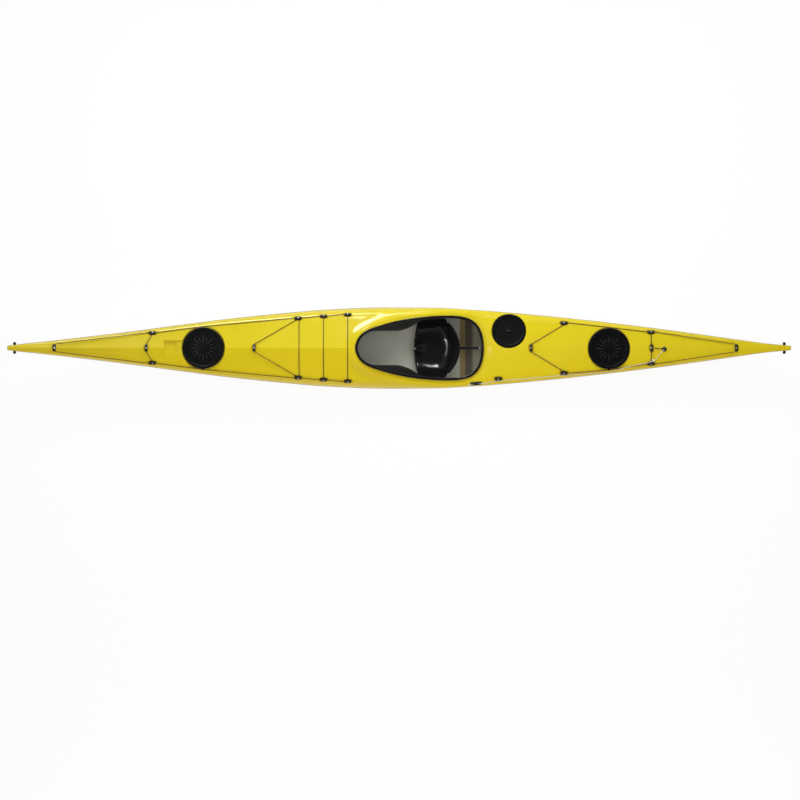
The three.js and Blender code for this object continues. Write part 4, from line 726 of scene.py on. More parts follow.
# %% [markdown]
# ## Hull
# The real hull is laid up in a mould: a clean white skin outside, bare glass laminate inside. No primitive has
# that shape, so its sections are lofted: a flat along the keel, a bilge that is one Bezier curve and gets
# sharper towards the stems, and an upright strip at the joint. Solidify gives it its wall.

# %% Sections of the hull
BILGE_STEPS, JOINT_GAP = 16, 0.0002
hull_stations = np.unique(np.r_[np.linspace(0, 0.1, 36), np.linspace(0.1, 0.9, 130), np.linspace(0.9, 1, 36)])


def hull_half(station):
    """Half a hull section from the keel up to the joint: (y, z) rows."""
    wide, low, top = half_breadth(station), keel(station), sheer(station)
    rise = top - FLANGE - low
    sharp = 1 - breadth(station) ** 0.8
    flat = min(KEEL_FLAT * breadth(station) ** 2, wide / 3)
    corners = np.array([
        [flat, low],
        [mix(flat, wide, mix(0.66, 0.35, sharp)), low + rise * mix(0.04, 0.24, sharp)],
        [wide * mix(1, 0.8, sharp), low + rise * mix(0.22, 0.64, sharp)],
        [wide, top - FLANGE]])
    t = np.linspace(0, 1, BILGE_STEPS + 1)[:, None]
    bilge = ((1 - t)**3 * corners[0] + 3 * (1 - t)**2 * t * corners[1] + 3 * (1 - t) * t**2 * corners[2]
             + t**3 * corners[3])
    return np.vstack([[0, low], [flat * 0.7, low], bilge, [wide, top - JOINT_GAP]])


rings = []
for station in hull_stations:
    half = hull_half(station)
    full = np.vstack([half[:0:-1] * [-1, 1], half])
    rings.append(np.c_[np.full(len(full), (station - 0.5) * LENGTH), full])
print("hull:", len(rings), "sections of", len(rings[0]), "points")

# %% [markdown]
# The skin gets its wall, white outside and bare laminate inside. Then the slot for the skeg is cut in the keel,
# and a hole through each stem for the toggle's cord.

# %% Hull shell
TOGGLE_HOLES = {"bow_toggle": (-2.646, 0.452), "stern_toggle": (2.650, 0.324)}


def open_shell(name, rings):
    """A skin that is open along one side, with its two ends closed."""
    return merged(loft(name, rings, closed=False, capped=True), gap=0)


def walled(skin, outside, inside):
    """Give a skin its wall and its two finishes."""
    coat(skin, outside, inside)
    return modified(skin, "SOLIDIFY", thickness=WALL, offset=-1, use_even_offset=True, material_offset=1,
                    material_offset_rim=0)


def laid_across(x, z):
    """A turn that lays an upright axis across the boat, at a place on the boat's middle plane."""
    return Matrix.Translation((x, 0, z)) @ Matrix.Rotation(math.pi / 2, 4, "X")


hull = open_shell("hull", rings)
if min(hull.data.polygons, key=lambda p: p.center.z).normal.z > 0:
    hull.data.flip_normals()
walled(hull, white, laminate_tape_shade)
carve(hull, box_between("skeg_slot", (1.800, -0.0055, -0.04), (2.068, 0.0055, 0.084)))
for x, z in TOGGLE_HOLES.values():
    carve(hull, cylinder("toggle_hole", 0.0034, -0.05, 0.05, sides=32, turn=laid_across(x, z)))
smooth(hull, 40)
dress(hull, "boat", None, ["hull_shell"])

# %% [markdown]
# The black band is tape over the joint, about as wide as a thumb. It follows the joint line round the whole
# boat as one closed strip with softened edges.

# %% Joint band
BAND_SECTION = [(0.0002, -0.0118), (0.0010, -0.012), (0.0014, -0.0105), (0.0015, 0), (0.0014, 0.0105),
                (0.0010, 0.012), (0.0002, 0.0118)]  # (out, up) from the joint
rings = []
path = [((s - 0.5) * LENGTH, float(half_breadth(s)), float(sheer(s))) for s in hull_stations]
path = path + [(x, -y, z) for x, y, z in path[::-1]]
for x, y, z in path:
    end = math.copysign(1, x) if abs(x) > LENGTH / 2 - 0.0002 else 0
    rings.append([(x + end * out, y + math.copysign(out, y), z + up) for out, up in BAND_SECTION])
band = loft("joint_band", rings, looped=True)
merged(band, 1e-6)
smooth(band, 50)
dress(band, "boat", [band_black], ["seam_band"])

# %% [markdown]
# ## Deck
# The deck is the piece with the most shape: a ridge forward, a flatter deck aft, and a collar that sweeps up
# to the cockpit. It is lofted from the same curves, given its wall, and then cut as the mould has it: a round
# well for each hatch, a recess for a compass, the cockpit opening and a shallow dish round every fitting.

# %% Deck skin
deck_stations = np.unique(np.r_[np.linspace(0, 0.1, 30), np.linspace(0.1, 0.42, 70), np.linspace(0.42, 0.63, 90),
                                np.linspace(0.63, 0.9, 60), np.linspace(0.9, 1, 30)])
half_sides = np.array([0, 0.02, 0.05, 0.1, 0.16, 0.23, 0.3, 0.37, 0.44, 0.51, 0.58, 0.64, 0.7, 0.75, 0.8, 0.84,
                       0.875, 0.905, 0.93, 0.95, 0.967, 0.982, 0.993, 1])
sides = np.r_[-half_sides[:0:-1], half_sides]
heights = deck_height(deck_stations[:, None], sides[None, :])
rings = []
for i, station in enumerate(deck_stations):
    x, wide, low = (station - 0.5) * LENGTH, float(half_breadth(station)), float(sheer(station)) + JOINT_GAP
    top = [(x, wide * side, z) for side, z in zip(sides, heights[i])]
    rings.append([(x, -wide, low), *top, (x, wide, low)])
deck = open_shell("deck", rings)
if max(deck.data.polygons, key=lambda p: p.center.z * (abs(p.normal.z) > 0.5)).normal.z < 0:
    deck.data.flip_normals()
walled(deck, yellow, laminate)
deck_volume = merged(loft("deck_volume", rings, capped=True), 1e-7)
print("deck skin:", len(deck.data.polygons), "faces")

# %% [markdown]
# A well is made in two moves. First a cup is joined on under the skin, cut to the space within the deck, so that
# there is a wall to cut into. Then the well itself is cut from above, and below it the bore for the hatch's rim.

# %% Hatches and what lies within the deck
HATCHES = {
    "front": {"place": (-1.350, 0, 0.320), "radius": 0.142, "recess": 0.150, "tilt": 0},
    "rear": {"place": (1.442, -0.004, 0.231), "radius": 0.141, "recess": 0.147, "tilt": 0},
    "day": {"place": (0.753, 0.113, 0.199), "radius": 0.116, "recess": 0.120, "tilt": 9}}
HATCH_STACK, RIM_HEIGHT, RIM_LIP, SKIRT, RIM_NECK = 0.036, 0.024, 0.009, 0.013, 0.004
FIT_GAP = 0.0003  # between a moulding and the hole that it sits in
for hatch in HATCHES.values():
    hatch["frame"] = Matrix.Translation(hatch["place"]) @ Matrix.Rotation(-math.radians(hatch["tilt"]), 4, "X")
    hatch["lip"] = hatch["radius"] - SKIRT - RIM_LIP - FIT_GAP
    hatch["neck"] = hatch["lip"] - RIM_LIP


def within_deck(tool):
    """Keep the part of a tool that lies a hair below the deck's skin, so that the skin itself stays whole."""
    volume = deck_volume.copy()
    volume.data = deck_volume.data.copy()
    volume.data.transform(Matrix.Translation((0, 0, -0.0012)))
    bpy.context.scene.collection.objects.link(volume)
    return carve(tool, volume, "INTERSECT")


print("hatches:", {name: hatch["radius"] for name, hatch in HATCHES.items()})

# %% [markdown]
# The recess for a compass has a flat floor with a round dish in it. Near the stern the deck takes the skeg's line
# through a small hole. The cockpit's opening is the same outline as the coaming's, a lip's width further in.

# %% Wells, recess and openings
COMPASS_FRONT, COMPASS_REAR, COMPASS_HALF, COMPASS_FLOOR = -1.621, -1.470, 0.052, 0.352
WELL_TOP, COMPASS_TOP = 0.09, 0.43  # the tools end there, clear of the skin
SKEG_EXIT = (1.823, -0.008)  # where the skeg's line goes down through the deck
for name, hatch in HATCHES.items():
    cup = cylinder(name + "_cup", hatch["recess"] + WALL, -WALL, WELL_TOP, turn=hatch["frame"])
    carve(deck, within_deck(cup), "UNION", number=1)
cup = box_between("compass_cup", (COMPASS_FRONT - WALL, -COMPASS_HALF - WALL, 0.340),
                  (COMPASS_REAR, COMPASS_HALF + WALL, COMPASS_TOP))
carve(deck, within_deck(cup), "UNION", number=1)
for name, hatch in HATCHES.items():
    carve(deck, cylinder(name + "_well", hatch["recess"], 0, WELL_TOP, sides=128, turn=hatch["frame"]))
    carve(deck, cylinder(name + "_bore", hatch["neck"] + FIT_GAP, -0.04, 0.04, turn=hatch["frame"]))
carve(deck, box_between("compass_well", (COMPASS_FRONT, -COMPASS_HALF, COMPASS_FLOOR),
                        (COMPASS_REAR, COMPASS_HALF, COMPASS_TOP)))
carve(deck, cylinder("compass_dish", 0.042, COMPASS_FLOOR - 0.008, COMPASS_TOP, (-1.567, 0), 64))
carve(deck, cylinder("skeg_line_hole", 0.005, 0.2, 0.4, SKEG_EXIT, 24))
inset = outline - outline_normals * (LIP_WIDTH - FIT_GAP)
carve(deck, merged(loft("cockpit_tool", [[(x, y, z) for x, y in inset] for z in (0.0, 0.6)], capped=True)))
print("deck faces after its cuts:", len(deck.data.polygons))

# %% [markdown]
# All small pieces on the deck stand on a frame of their own, built from the slope of the skin at their place.
# The fittings on the centre line lie across the boat, and those at the sides along it.

# %% Frames on the skin
def skin_frame(x, y, heading=0.0, reach=0.010):
    """A frame on the deck's skin: X along the heading, Z off the skin."""
    z_fore, z_aft, z_port, z_board, z = (float(v) for v in deck_at(
        np.array([x - reach, x + reach, x, x, x]), np.array([y, y, y - reach, y + reach, y])))
    up = Vector((2 * reach, 0, z_aft - z_fore)).cross(Vector((0, 2 * reach, z_board - z_port))).normalized()
    ahead = Vector((math.cos(heading), math.sin(heading), 0))
    ahead = (ahead - up * ahead.dot(up)).normalized()
    across = up.cross(ahead)
    turn = Matrix((ahead, across, up)).transposed().to_4x4()
    return Matrix.Translation((x, y, z)) @ turn


ACROSS = math.pi / 2
FITTINGS = {
    "bow_fitting": (-2.370, 0, ACROSS), "stern_fitting": (2.319, 0, ACROSS),
    "fore_centre_fitting_1": (-1.741, 0, ACROSS), "fore_centre_fitting_2": (-1.000, 0, ACROSS),
    "aft_centre_fitting_1": (0.906, 0, ACROSS), "aft_centre_fitting_2": (1.735, 0, ACROSS),
    "port_fitting_5": (0.681, -0.2115, 0)}
for number, x, y in ((1, -1.700, 0.103), (2, -0.698, 0.204), (3, -0.523, 0.218), (4, -0.357, 0.229),
                     (6, 1.133, 0.172), (7, 1.732, 0.109)):
    FITTINGS[f"port_fitting_{number}"] = (x, -y, 0)
    FITTINGS[f"starboard_fitting_{number}"] = (x, y, 0)
print("fittings:", len(FITTINGS))

# %% [markdown]
# Every fitting stands in a shallow oval dish, as deep as a pencil is thick. The dish is one small turned tool,
# stretched along the fitting and laid on the deck's skin at each place, and a cup under the skin keeps the wall
# whole there.

# %% Dishes for the fittings
LARGE_DISH, SMALL_DISH = (0.038, 0.0205), (0.030, 0.0150)  # half length and half width
NARROW_DECK = 2.2  # metres from the middle, where only the small dish has room
DISH = [(0, -0.0065), (0.66, -0.0063), (0.78, -0.0054), (0.88, -0.0034), (0.95, -0.0014), (0.99, 0.0),
        (1, 0.0006), (1, 0.02), (0, 0.02)]
DISH_CUP = [(0, -0.0105), (1.14, -0.0105), (1.14, 0.004), (0, 0.004)]


def dish_tool(profile, fitting_place):
    """A turned profile stretched to an oval and laid on the skin under one fitting."""
    x, y, heading = fitting_place
    reach, wide = SMALL_DISH if abs(x) > NARROW_DECK else LARGE_DISH
    tool = turned("dish", [(r * reach, z) for r, z in profile], steps=40)
    tool.data.transform(skin_frame(x, y, heading) @ Matrix.Diagonal((1, wide / reach, 1, 1)))
    return tool


for fitting_place in FITTINGS.values():
    carve(deck, within_deck(dish_tool(DISH_CUP, fitting_place)), "UNION", number=1)
    carve(deck, dish_tool(DISH, fitting_place))
bpy.data.objects.remove(deck_volume)
smooth(deck, 32)
dress(deck, "boat", None, ["deck_shell"])

# %% [markdown]
# ## Cockpit coaming
# The coaming is one black moulding: a lip for the spray deck, a riser that hangs inside the opening, and two
# broad braces for the thighs. Its section changes slowly round the opening, so the section is swept along the
# cockpit's outline. Every edge that a hand would meet is rounded.

# %% Coaming
def coaming_section(brace, foot):
    """The section as (inward, down) from the lip's outer top edge."""
    inner, drop = LIP_WIDTH + RISER_THICK, brace * BRACE_SLOPE
    return [
        (0.0004, LIP_THICK - 0.0006), (0, LIP_THICK - 0.002), (0, 0.0024), (0.0006, 0.0010), (0.0018, 0.0002),
        (0.0035, 0), (inner * 0.5, 0), (inner - 0.0042, 0.0001), (inner - 0.0020, 0.0006),
        (inner - 0.0006, 0.0018),
        (inner + brace * 0.06, 0.003 + drop * 0.05), (inner + brace * 0.35, 0.002 + drop * 0.30),
        (inner + brace * 0.68, 0.002 + drop * 0.64), (inner + brace * 0.95, 0.0018 + drop * 0.95),
        (inner + brace * 1.0, 0.0035 + drop), (inner + brace * 0.97, 0.0062 + drop),
        (inner + brace * 0.65, 0.006 + drop * 0.66), (inner + brace * 0.3, 0.006 + drop * 0.34),
        (inner, 0.0072), (inner, foot - 0.0008), (inner - 0.0010, foot), (LIP_WIDTH + 0.0008, foot),
        (LIP_WIDTH, foot - 0.0008), (LIP_WIDTH, LIP_THICK + 0.001), (LIP_WIDTH - 0.0010, LIP_THICK)]


rings = []
for (x, y), normal in zip(outline, outline_normals):
    top = float(coaming_top(x))
    brace = max(0.0004, BRACE_WIDTH * float(brace_width(along_cockpit(x))))
    foot = top - float(coaming_base(x)) + RISER_DEPTH
    rings.append([(x - normal[0] * inward, y - normal[1] * inward, top - down)
                  for inward, down in coaming_section(brace, foot)])
coaming = loft("coaming", rings, looped=True)
merged(coaming, 1e-6)
smooth(coaming, 55)
dress(coaming, "boat", [gloss_black], ["cockpit_coaming"])

# %% [markdown]
# ## Seat
# The seat is a thin bucket of glossy black laminate that hangs by its cheeks from the riser. It is lofted from
# front to back as a double skin: a shallow hollow for each thigh, a low ridge between them, a front edge that
# bows forward, and a back that turns up.

# %% Shape of the seat
SEAT_FRONT, SEAT_REAR, SEAT_WALL, SEAT_GAP = 0.0998, 0.372, 0.004, 0.0006
SEAT_FLOOR, SEAT_BACK, SEAT_FRONT_LIFT = 0.034, 0.084, 0.012
SEAT_BOW, SEAT_ROUND = 0.027, 0.058
seat_lift = through([
    [0, 0.1], [0.12, 0.02], [0.3, 0], [0.5, 0.03], [0.68, 0.1], [0.82, 0.32], [0.93, 0.72], [1, 1]])
cheek = through([
    [0, 0], [0.3, 0.006], [0.5, 0.026], [0.68, 0.080], [0.80, 0.19], [0.90, 0.43], [0.96, 0.70], [1, 1]])
riser_line = outline - outline_normals * (LIP_WIDTH + RISER_THICK)


def riser_inside(x):
    """Half width between the insides of the riser at a place along the boat."""
    a, b = riser_line, np.roll(riser_line, -1, axis=0)
    cuts = (a[:, 0] <= x) != (b[:, 0] <= x)
    t = (x - a[cuts, 0]) / (b[cuts, 0] - a[cuts, 0])
    return float(np.min(np.abs(a[cuts, 1] + t * (b[cuts, 1] - a[cuts, 1]))))


def seat_point(along, side, wall):
    """A point of the seat: along 0-1 front to back, side -1 to 1, on the outer skin or a wall above it."""
    x = (mix(SEAT_FRONT + SEAT_GAP, SEAT_REAR, along) + SEAT_BOW * side * side * (1 - along)
         - SEAT_ROUND * side * side * along)
    wide = riser_inside(x) - SEAT_GAP
    rolled = 0.010 * math.exp(-(along / 0.035) ** 2) * (1 - abs(side) ** 3)
    low = (SEAT_FLOOR + (SEAT_BACK - SEAT_FLOOR) * float(seat_lift(along)) + SEAT_FRONT_LIFT * (1 - along)
           - rolled)
    high = float(coaming_base(x)) - 0.0025
    up = float(cheek(abs(side)))
    z = mix(low, high, up)
    hollow = math.exp(-((along - 0.60) / 0.21) ** 2 - ((abs(side) - 0.36) / 0.21) ** 2)
    thigh = math.exp(-((along - 0.15) / 0.24) ** 2 - ((abs(side) - 0.42) / 0.17) ** 2)
    pommel = fade(1.35 - math.hypot(max(0, along) / 0.32, side / 0.24))
    z += 0.020 * float(pommel) - 0.007 * hollow - 0.006 * thigh
    inward = wall * abs(side) ** 2
    return (x, math.copysign(wide * abs(side) - inward, side), z + wall * (1 - up))


# %% [markdown]
# Each ring runs from one cheek across the bucket to the other on its outer skin, and back on its inner skin, so
# that one loft makes the whole shell.

# %% Bucket seat
seat_along = np.r_[0, 0.012, 0.03, 0.055, np.linspace(0.09, 1, 26)]
seat_side = np.r_[np.linspace(0, 0.6, 9), np.linspace(0.66, 1, 14)]
seat_side = np.r_[-seat_side[:0:-1], seat_side]
rings = [[seat_point(a, s, 0) for s in seat_side] + [seat_point(a, s, SEAT_WALL) for s in seat_side[::-1]]
         for a in seat_along]
seat = loft("seat_bucket", rings, capped=True)
merged(seat, 1e-6)
modified(seat, "BEVEL", width=0.0012, segments=2, limit_method="ANGLE", angle_limit=math.radians(55))
smooth(seat, 50)
dress(seat, "boat", [gloss_black], ["seat"])

# %% [markdown]
# ## Back band
# The back band is a padded strap that bends round behind the paddler. It is a crowned pad, thin at its piped
# rim and full in the middle, with two sewn channels that press into the foam. A ladder-lock buckle sits at
# each end, and a webbing strap holds its back to the coaming.

# %% Back band
BAND_CENTRE, BAND_FORWARD, BAND_LEAN, BAND_HALF = 0.414, 0.072, 0.056, 0.172
BAND_THICK, BAND_HEIGHT, BAND_LOW = 0.018, 0.132, 0.104


def band_place(share, up, out=0.0):
    """A point of the band: share -1 to 1 across, up -1 to 1, out of the middle of its thickness in metres."""
    bend = BAND_FORWARD * share * share + BAND_LEAN * (1 - up) * (1 - share * share / 2) / 2
    lean = Vector((1, 2 * BAND_FORWARD * share / BAND_HALF, 0)).normalized()
    half = BAND_HEIGHT / 2 * (1 - 0.45 * abs(share) ** 3) * 0.985
    middle = Vector((BAND_CENTRE - bend, BAND_HALF * share, BAND_LOW + BAND_HEIGHT / 2 + half * up))
    return middle + lean * out


rings = []
for share in np.sin(np.linspace(-math.pi / 2, math.pi / 2, 61)) * 0.985:
    ends = math.sqrt(max(0.0, 1 - (abs(share) / 0.99) ** 8))
    ring = []
    for turn in np.linspace(0, 2 * math.pi, 56, endpoint=False):
        up, out = math.sin(turn), math.cos(turn)
        up = math.copysign(abs(up) ** 0.55, up)
        out = math.copysign(abs(out) ** 0.8, out)
        sewn = 1 - 0.34 * sum(math.exp(-((up - line) / 0.045) ** 2) for line in (-0.36, 0.36))
        sewn *= 1 - 0.25 * math.exp(-((abs(share) - 0.74) / 0.02) ** 2)
        full = BAND_THICK * 0.475 * mix(0.45, 1, ends) * sewn
        ring.append(tuple(band_place(share, up * mix(0.86, 1, ends), full * out)))
    rings.append(ring)
back_pad = loft("back_band_pad", rings, capped=True)
merged(back_pad, 1e-6)
modified(back_pad, "SUBSURF", levels=1, render_levels=1)
smooth(back_pad, 60)
dress(back_pad, "back_band", [fabric], ["back_band"])

# %% [markdown]
# Cords, piping and straps are all tubes along a path. Each ring is carried along without twisting, and the
# tube's map counts turns round it and metres along it.

# %% Tubes along a path
def sweep(name, path, section, twist=(0, 0, 1)):
    """A tube along a path of points, with a section of (side, up) offsets; twist is its first up."""
    path = [Vector(point) for point in path]
    up = Vector(twist)
    rings, walked, length = [], [], 0.0
    for i, here in enumerate(path):
        along = (path[min(i + 1, len(path) - 1)] - path[max(i - 1, 0)]).normalized()
        side = along.cross(up)
        side = side.normalized() if side.length > 1e-6 else Vector((0, 1, 0))
        up = side.cross(along).normalized()
        rings.append([tuple(here + side * a + up * b) for a, b in section])
        length += (here - path[i - 1]).length if i else 0.0
        walked.append(length)
    piece = loft(name, rings, capped=True)
    layer = piece.data.uv_layers.new(name="UVMap")
    round_count = len(section)
    for polygon in piece.data.polygons:
        corners = list(polygon.loop_indices)
        rows = [piece.data.loops[c].vertex_index // round_count for c in corners]
        columns = [piece.data.loops[c].vertex_index % round_count for c in corners]
        wraps = max(columns) - min(columns) > round_count / 2
        for corner, row, column in zip(corners, rows, columns):
            turn = (column + round_count if wraps and column < round_count / 2 else column) / round_count
            layer.data[corner].uv = (turn, walked[row])
    return piece


def round_section(radius, sides=12):
    turns = np.linspace(0, 2 * math.pi, sides, endpoint=False)
    return [(radius * math.cos(a), radius * math.sin(a)) for a in turns]


# %% [markdown]
# A round piping closes the pad along its upper and its lower edge.

# %% Piping
piping = []
for edge in (1, -1):
    path = [band_place(share, edge * 0.98) for share in np.linspace(-0.955, 0.955, 48)]
    piping.append(sweep(f"piping_{edge}", path, round_section(0.0019, 8)))
piping = joined("back_band_piping", piping)
merged(piping, 1e-6)
smooth(piping, 60)
dress(piping, "back_band", [webbing])

# %% [markdown]
# Buckles hold the band's side straps. Each is a small frame with a middle bar: a flat block with two windows
# cut through it and its edges rounded.

# %% Buckles of the back band
def buckle(name, width, length, thick):
    """A ladder-lock buckle lying flat in XY."""
    plate = box_between(name, (-length / 2, -width / 2, 0), (length / 2, width / 2, thick))
    modified(plate, "BEVEL", width=thick * 0.32, segments=3)
    for side in (-1, 1):
        middle = side * length * 0.22
        carve(plate, box_between("window", (middle - length * 0.14, -width * 0.36, -thick),
                                 (middle + length * 0.14, width * 0.36, 2 * thick)))
    return plate


pieces = []
for side in (-1, 1):
    for height in (0.42, -0.42):
        place = band_place(side * 0.80, height, 0.0068)
        lean = (place - band_place(side * 0.80, height)).normalized()
        along = Vector((0, 0, 1)).cross(lean)
        matrix = Matrix((along, lean.cross(along), lean)).transposed().to_4x4()
        piece = buckle("buckle", 0.026, 0.030, 0.0045)
        piece.data.transform(Matrix.Translation(place) @ matrix)
        pieces.append(piece)
buckles = joined("back_band_buckles", pieces)
smooth(buckles, 40)
dress(buckles, "back_band", [plastic])

# %% [markdown]
# A flat webbing strap holds the middle of the band's back to the coaming, running between them with a slight
# sag. A steel bolt holds its rear end.

# %% Strap of the back band
STRAP_FROM = band_place(0, 0.6, BAND_THICK * 0.48 + 0.0010)
strap_rear = COCKPIT_FRONT + COCKPIT_LENGTH - LIP_WIDTH - RISER_THICK - 0.0009
STRAP_TO = Vector((strap_rear, 0, float(coaming_base(strap_rear)) - RISER_DEPTH / 2))
path = [STRAP_FROM.lerp(STRAP_TO, t) - Vector((0, 0, 0.006 * math.sin(math.pi * t)))
        for t in np.linspace(0, 1, 30)]
flat = [(side * 0.0088, up * 0.0013) for side, up in (
    (-1, -0.6), (-0.95, -1), (-0.5, -1), (0, -1), (0.5, -1), (0.95, -1), (1, -0.6), (1, 0.6), (0.95, 1), (0.5, 1),
    (0, 1), (-0.5, 1), (-0.95, 1), (-1, 0.6))]
strap = sweep("back_band_webbing", path, flat)
smooth(strap, 50)
coat(strap, webbing)
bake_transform(strap)
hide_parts("back_band_strap")

bolt_place = STRAP_FROM.lerp(STRAP_TO, 0.94)
bolt = turned("strap_bolt", [(0, 0.0045), (0.002, 0.0044), (0.0042, 0.0034), (0.005, 0.0022), (0.0052, 0.0014),
                             (0.0075, 0.0013), (0.0077, 0.0002), (0, 0.0002)], steps=32)
bolt.data.transform(Matrix.Translation(bolt_place + Vector((0, 0, 0.0004))))
smooth(bolt, 35)
dress(bolt, "boat", [steel])

# %% [markdown]
# ## Bulkheads
# Three flat walls of bare laminate close off the holds. The rigid model already cuts them to the space inside
# the shells, so they keep their shape and only get the laminate's weave.

# %% Bulkheads
def carry(node, material):
    """Give a node of the rigid model a finish and leave its shape alone."""
    shape = bpy.data.objects[node]
    coat(shape, material)
    print("kept:", node)


for node in ("front_bulkhead", "cockpit_bulkhead", "day_bulkhead"):
    carry(node, laminate)

# %% [markdown]
# ## Hatches
# A hatch is two turned parts. The rim is bonded in the deck's well, and the rubber cover grips its lip. Both
# start as a profile that is spun round the upright axis. Thin ribs fan out on the two large covers, and the
# small one has two raised rings and a grip bar instead.

# %% Hatch rims
def hatch_rim(name, hatch):
    outer, lip = hatch["neck"], hatch["lip"]
    bore = outer - RIM_NECK
    profile = [
        (bore, -0.0115), (bore + 0.0008, -0.012), (outer - 0.0008, -0.012), (outer, -0.0115), (outer, 0.0003),
        (outer + 0.0118, 0.0003), (outer + 0.0120, 0.0012), (outer + 0.0108, 0.0036), (outer + 0.0095, 0.0042),
        (outer + 0.0015, 0.0043), (outer, 0.0058), (outer, 0.0188), (outer + 0.0012, 0.0199),
        (lip - 0.0010, 0.0202), (lip, 0.0212), (lip, 0.0229), (lip - 0.0014, 0.024), (bore + 0.0012, 0.024),
        (bore, 0.0230), (bore, -0.0115)]
    rim = turned(name + "_ring", profile, steps=128, turn=hatch["frame"])
    smooth(rim, 40)
    return dress(rim, "boat", [plastic], [name])


for name, hatch in HATCHES.items():
    hatch_rim(name + "_hatch_rim", hatch)

# %% [markdown]
# A cover's profile runs from the middle of its top out over the raised rim, down the skirt and back under the
# top. Bars with soft edges are joined on to it: the ribs and a pull tab, or the grip bar.

# %% Hatch covers
COVER_PLATE, RIBS = RIM_HEIGHT + 0.0063, 16


def cover_profile(radius, ring):
    """From the middle of the top out and down the skirt to the middle of the underside."""
    inner, plate, top = radius - SKIRT, COVER_PLATE, HATCH_STACK
    boss = radius * 0.14 if ring else radius * 0.26
    rows = [(0, plate + 0.0030), (boss - 0.0030, plate + 0.0032), (boss - 0.0008, plate + 0.0024),
            (boss + 0.0002, plate + 0.0006), (boss + 0.0020, plate + 0.0001)]
    if ring:
        for middle in (radius * 0.30, radius * 0.66):
            rows += [(middle - 0.0030, plate), (middle - 0.0012, plate + 0.0016),
                     (middle + 0.0012, plate + 0.0016), (middle + 0.0030, plate)]
    rows += [(inner - 0.0105, plate), (inner - 0.0068, plate + 0.0010), (inner - 0.0040, top - 0.0010),
             (inner - 0.0020, top - 0.0001), (radius - 0.0060, top), (radius - 0.0030, top - 0.0004),
             (radius - 0.0008, top - 0.0022), (radius, top - 0.0045), (radius - 0.0001, 0.0220),
             (radius - 0.0016, 0.0205), (radius - 0.0016, 0.0190), (radius - 0.0001, 0.0175), (radius, 0.0085),
             (radius - 0.0010, 0.0060), (radius - 0.0032, 0.0050), (inner + 0.0012, 0.0049), (inner, 0.0060),
             (inner, 0.0243), (0, 0.0243)]
    return rows


def add_bar(cover, low, high, soft, segments=3, turn=0.0, number=1):
    """Join a bar with soft edges on to a cover."""
    bar = box_between("bar", low, high)
    modified(bar, "BEVEL", width=soft, segments=segments)
    bar.data.transform(Matrix.Rotation(turn, 4, "Z"))
    carve(cover, bar, "UNION", number=number)


def hatch_cover(name, hatch):
    radius, plate, day = hatch["radius"], COVER_PLATE, name.startswith("day")
    cover = turned(name + "_rubber", cover_profile(radius, day), steps=144)
    # The second finish is the paler rubber, a painted highlight on the ribs and the grip bar.
    coat(cover, rubber, rib_highlight_rubber)
    if day:
        add_bar(cover, (-radius * 0.13, -0.0030, plate), (radius * 0.13, 0.0030, plate + 0.0055), 0.0014)
    else:
        for i in range(RIBS):
            start, end = (0.33, 0.52) if i % 2 else (0.29, 0.61)
            add_bar(cover, (radius * start, -0.0017, plate - 0.0010), (radius * end, 0.0017, plate + 0.0030),
                    0.0010, segments=2, turn=i * 2 * math.pi / RIBS)
        add_bar(cover, (-0.0075, -radius - 0.0095, 0.0160), (0.0075, -radius + 0.0020, 0.0200), 0.0014, number=0)
    cover.data.transform(hatch["frame"])
    smooth(cover, 38)
    return dress(cover, name, None, [name])


for name, hatch in HATCHES.items():
    hatch_cover(name + "_hatch_cover", hatch)

# %% [markdown]
# ## Deck fittings
# Nineteen fittings guide the deck lines. Each is a small black moulding with sloping ends and a tunnel for the
# line, held by one steel screw. It is modelled once, as by hand: the top of a box is extruded and drawn in, all
# edges are bevelled, and the tunnel is cut with flared mouths.

# %% One fitting
FIT_LENGTH, FIT_WIDTH, FIT_HEIGHT, TUNNEL = 0.050, 0.020, 0.013, 0.0066


def fitting_block(name, length, width, height, foot):
    """A ramped block from an extruded and tapered box, standing on z = 0 with a foot below."""
    step = height / 4
    block = box_between(name, (-length / 2, -width / 2, -foot), (length / 2, width / 2, step))
    bpy.ops.object.mode_set(mode="EDIT")
    bpy.ops.mesh.select_mode(type="FACE")
    bpy.ops.mesh.select_all(action="DESELECT")
    bpy.ops.object.mode_set(mode="OBJECT")
    for polygon in block.data.polygons:
        polygon.select = polygon.normal.z > 0.5
    bpy.ops.object.mode_set(mode="EDIT")
    bpy.ops.mesh.extrude_region_move(TRANSFORM_OT_translate={"value": (0, 0, 3 * step)})
    bpy.ops.transform.resize(value=(0.40, 0.80, 1))
    bpy.ops.object.mode_set(mode="OBJECT")
    modified(block, "BEVEL", width=0.0016, segments=3, limit_method="ANGLE", angle_limit=math.radians(20))
    return block


def tunnel_tool(radius_y, radius_z, middle, length, flare):
    """A long oval bar that widens at both mouths."""
    rings = []
    for x, grow in ((-length, flare), (-length * 0.42, flare), (-length * 0.27, 1), (length * 0.27, 1),
                    (length * 0.42, flare), (length, flare)):
        rings.append([(x, radius_y * grow * math.cos(a), middle + radius_z * grow * math.sin(a))
                      for a in np.linspace(0, 2 * math.pi, 20, endpoint=False)])
    return merged(loft("tunnel", rings, capped=True), 1e-7)


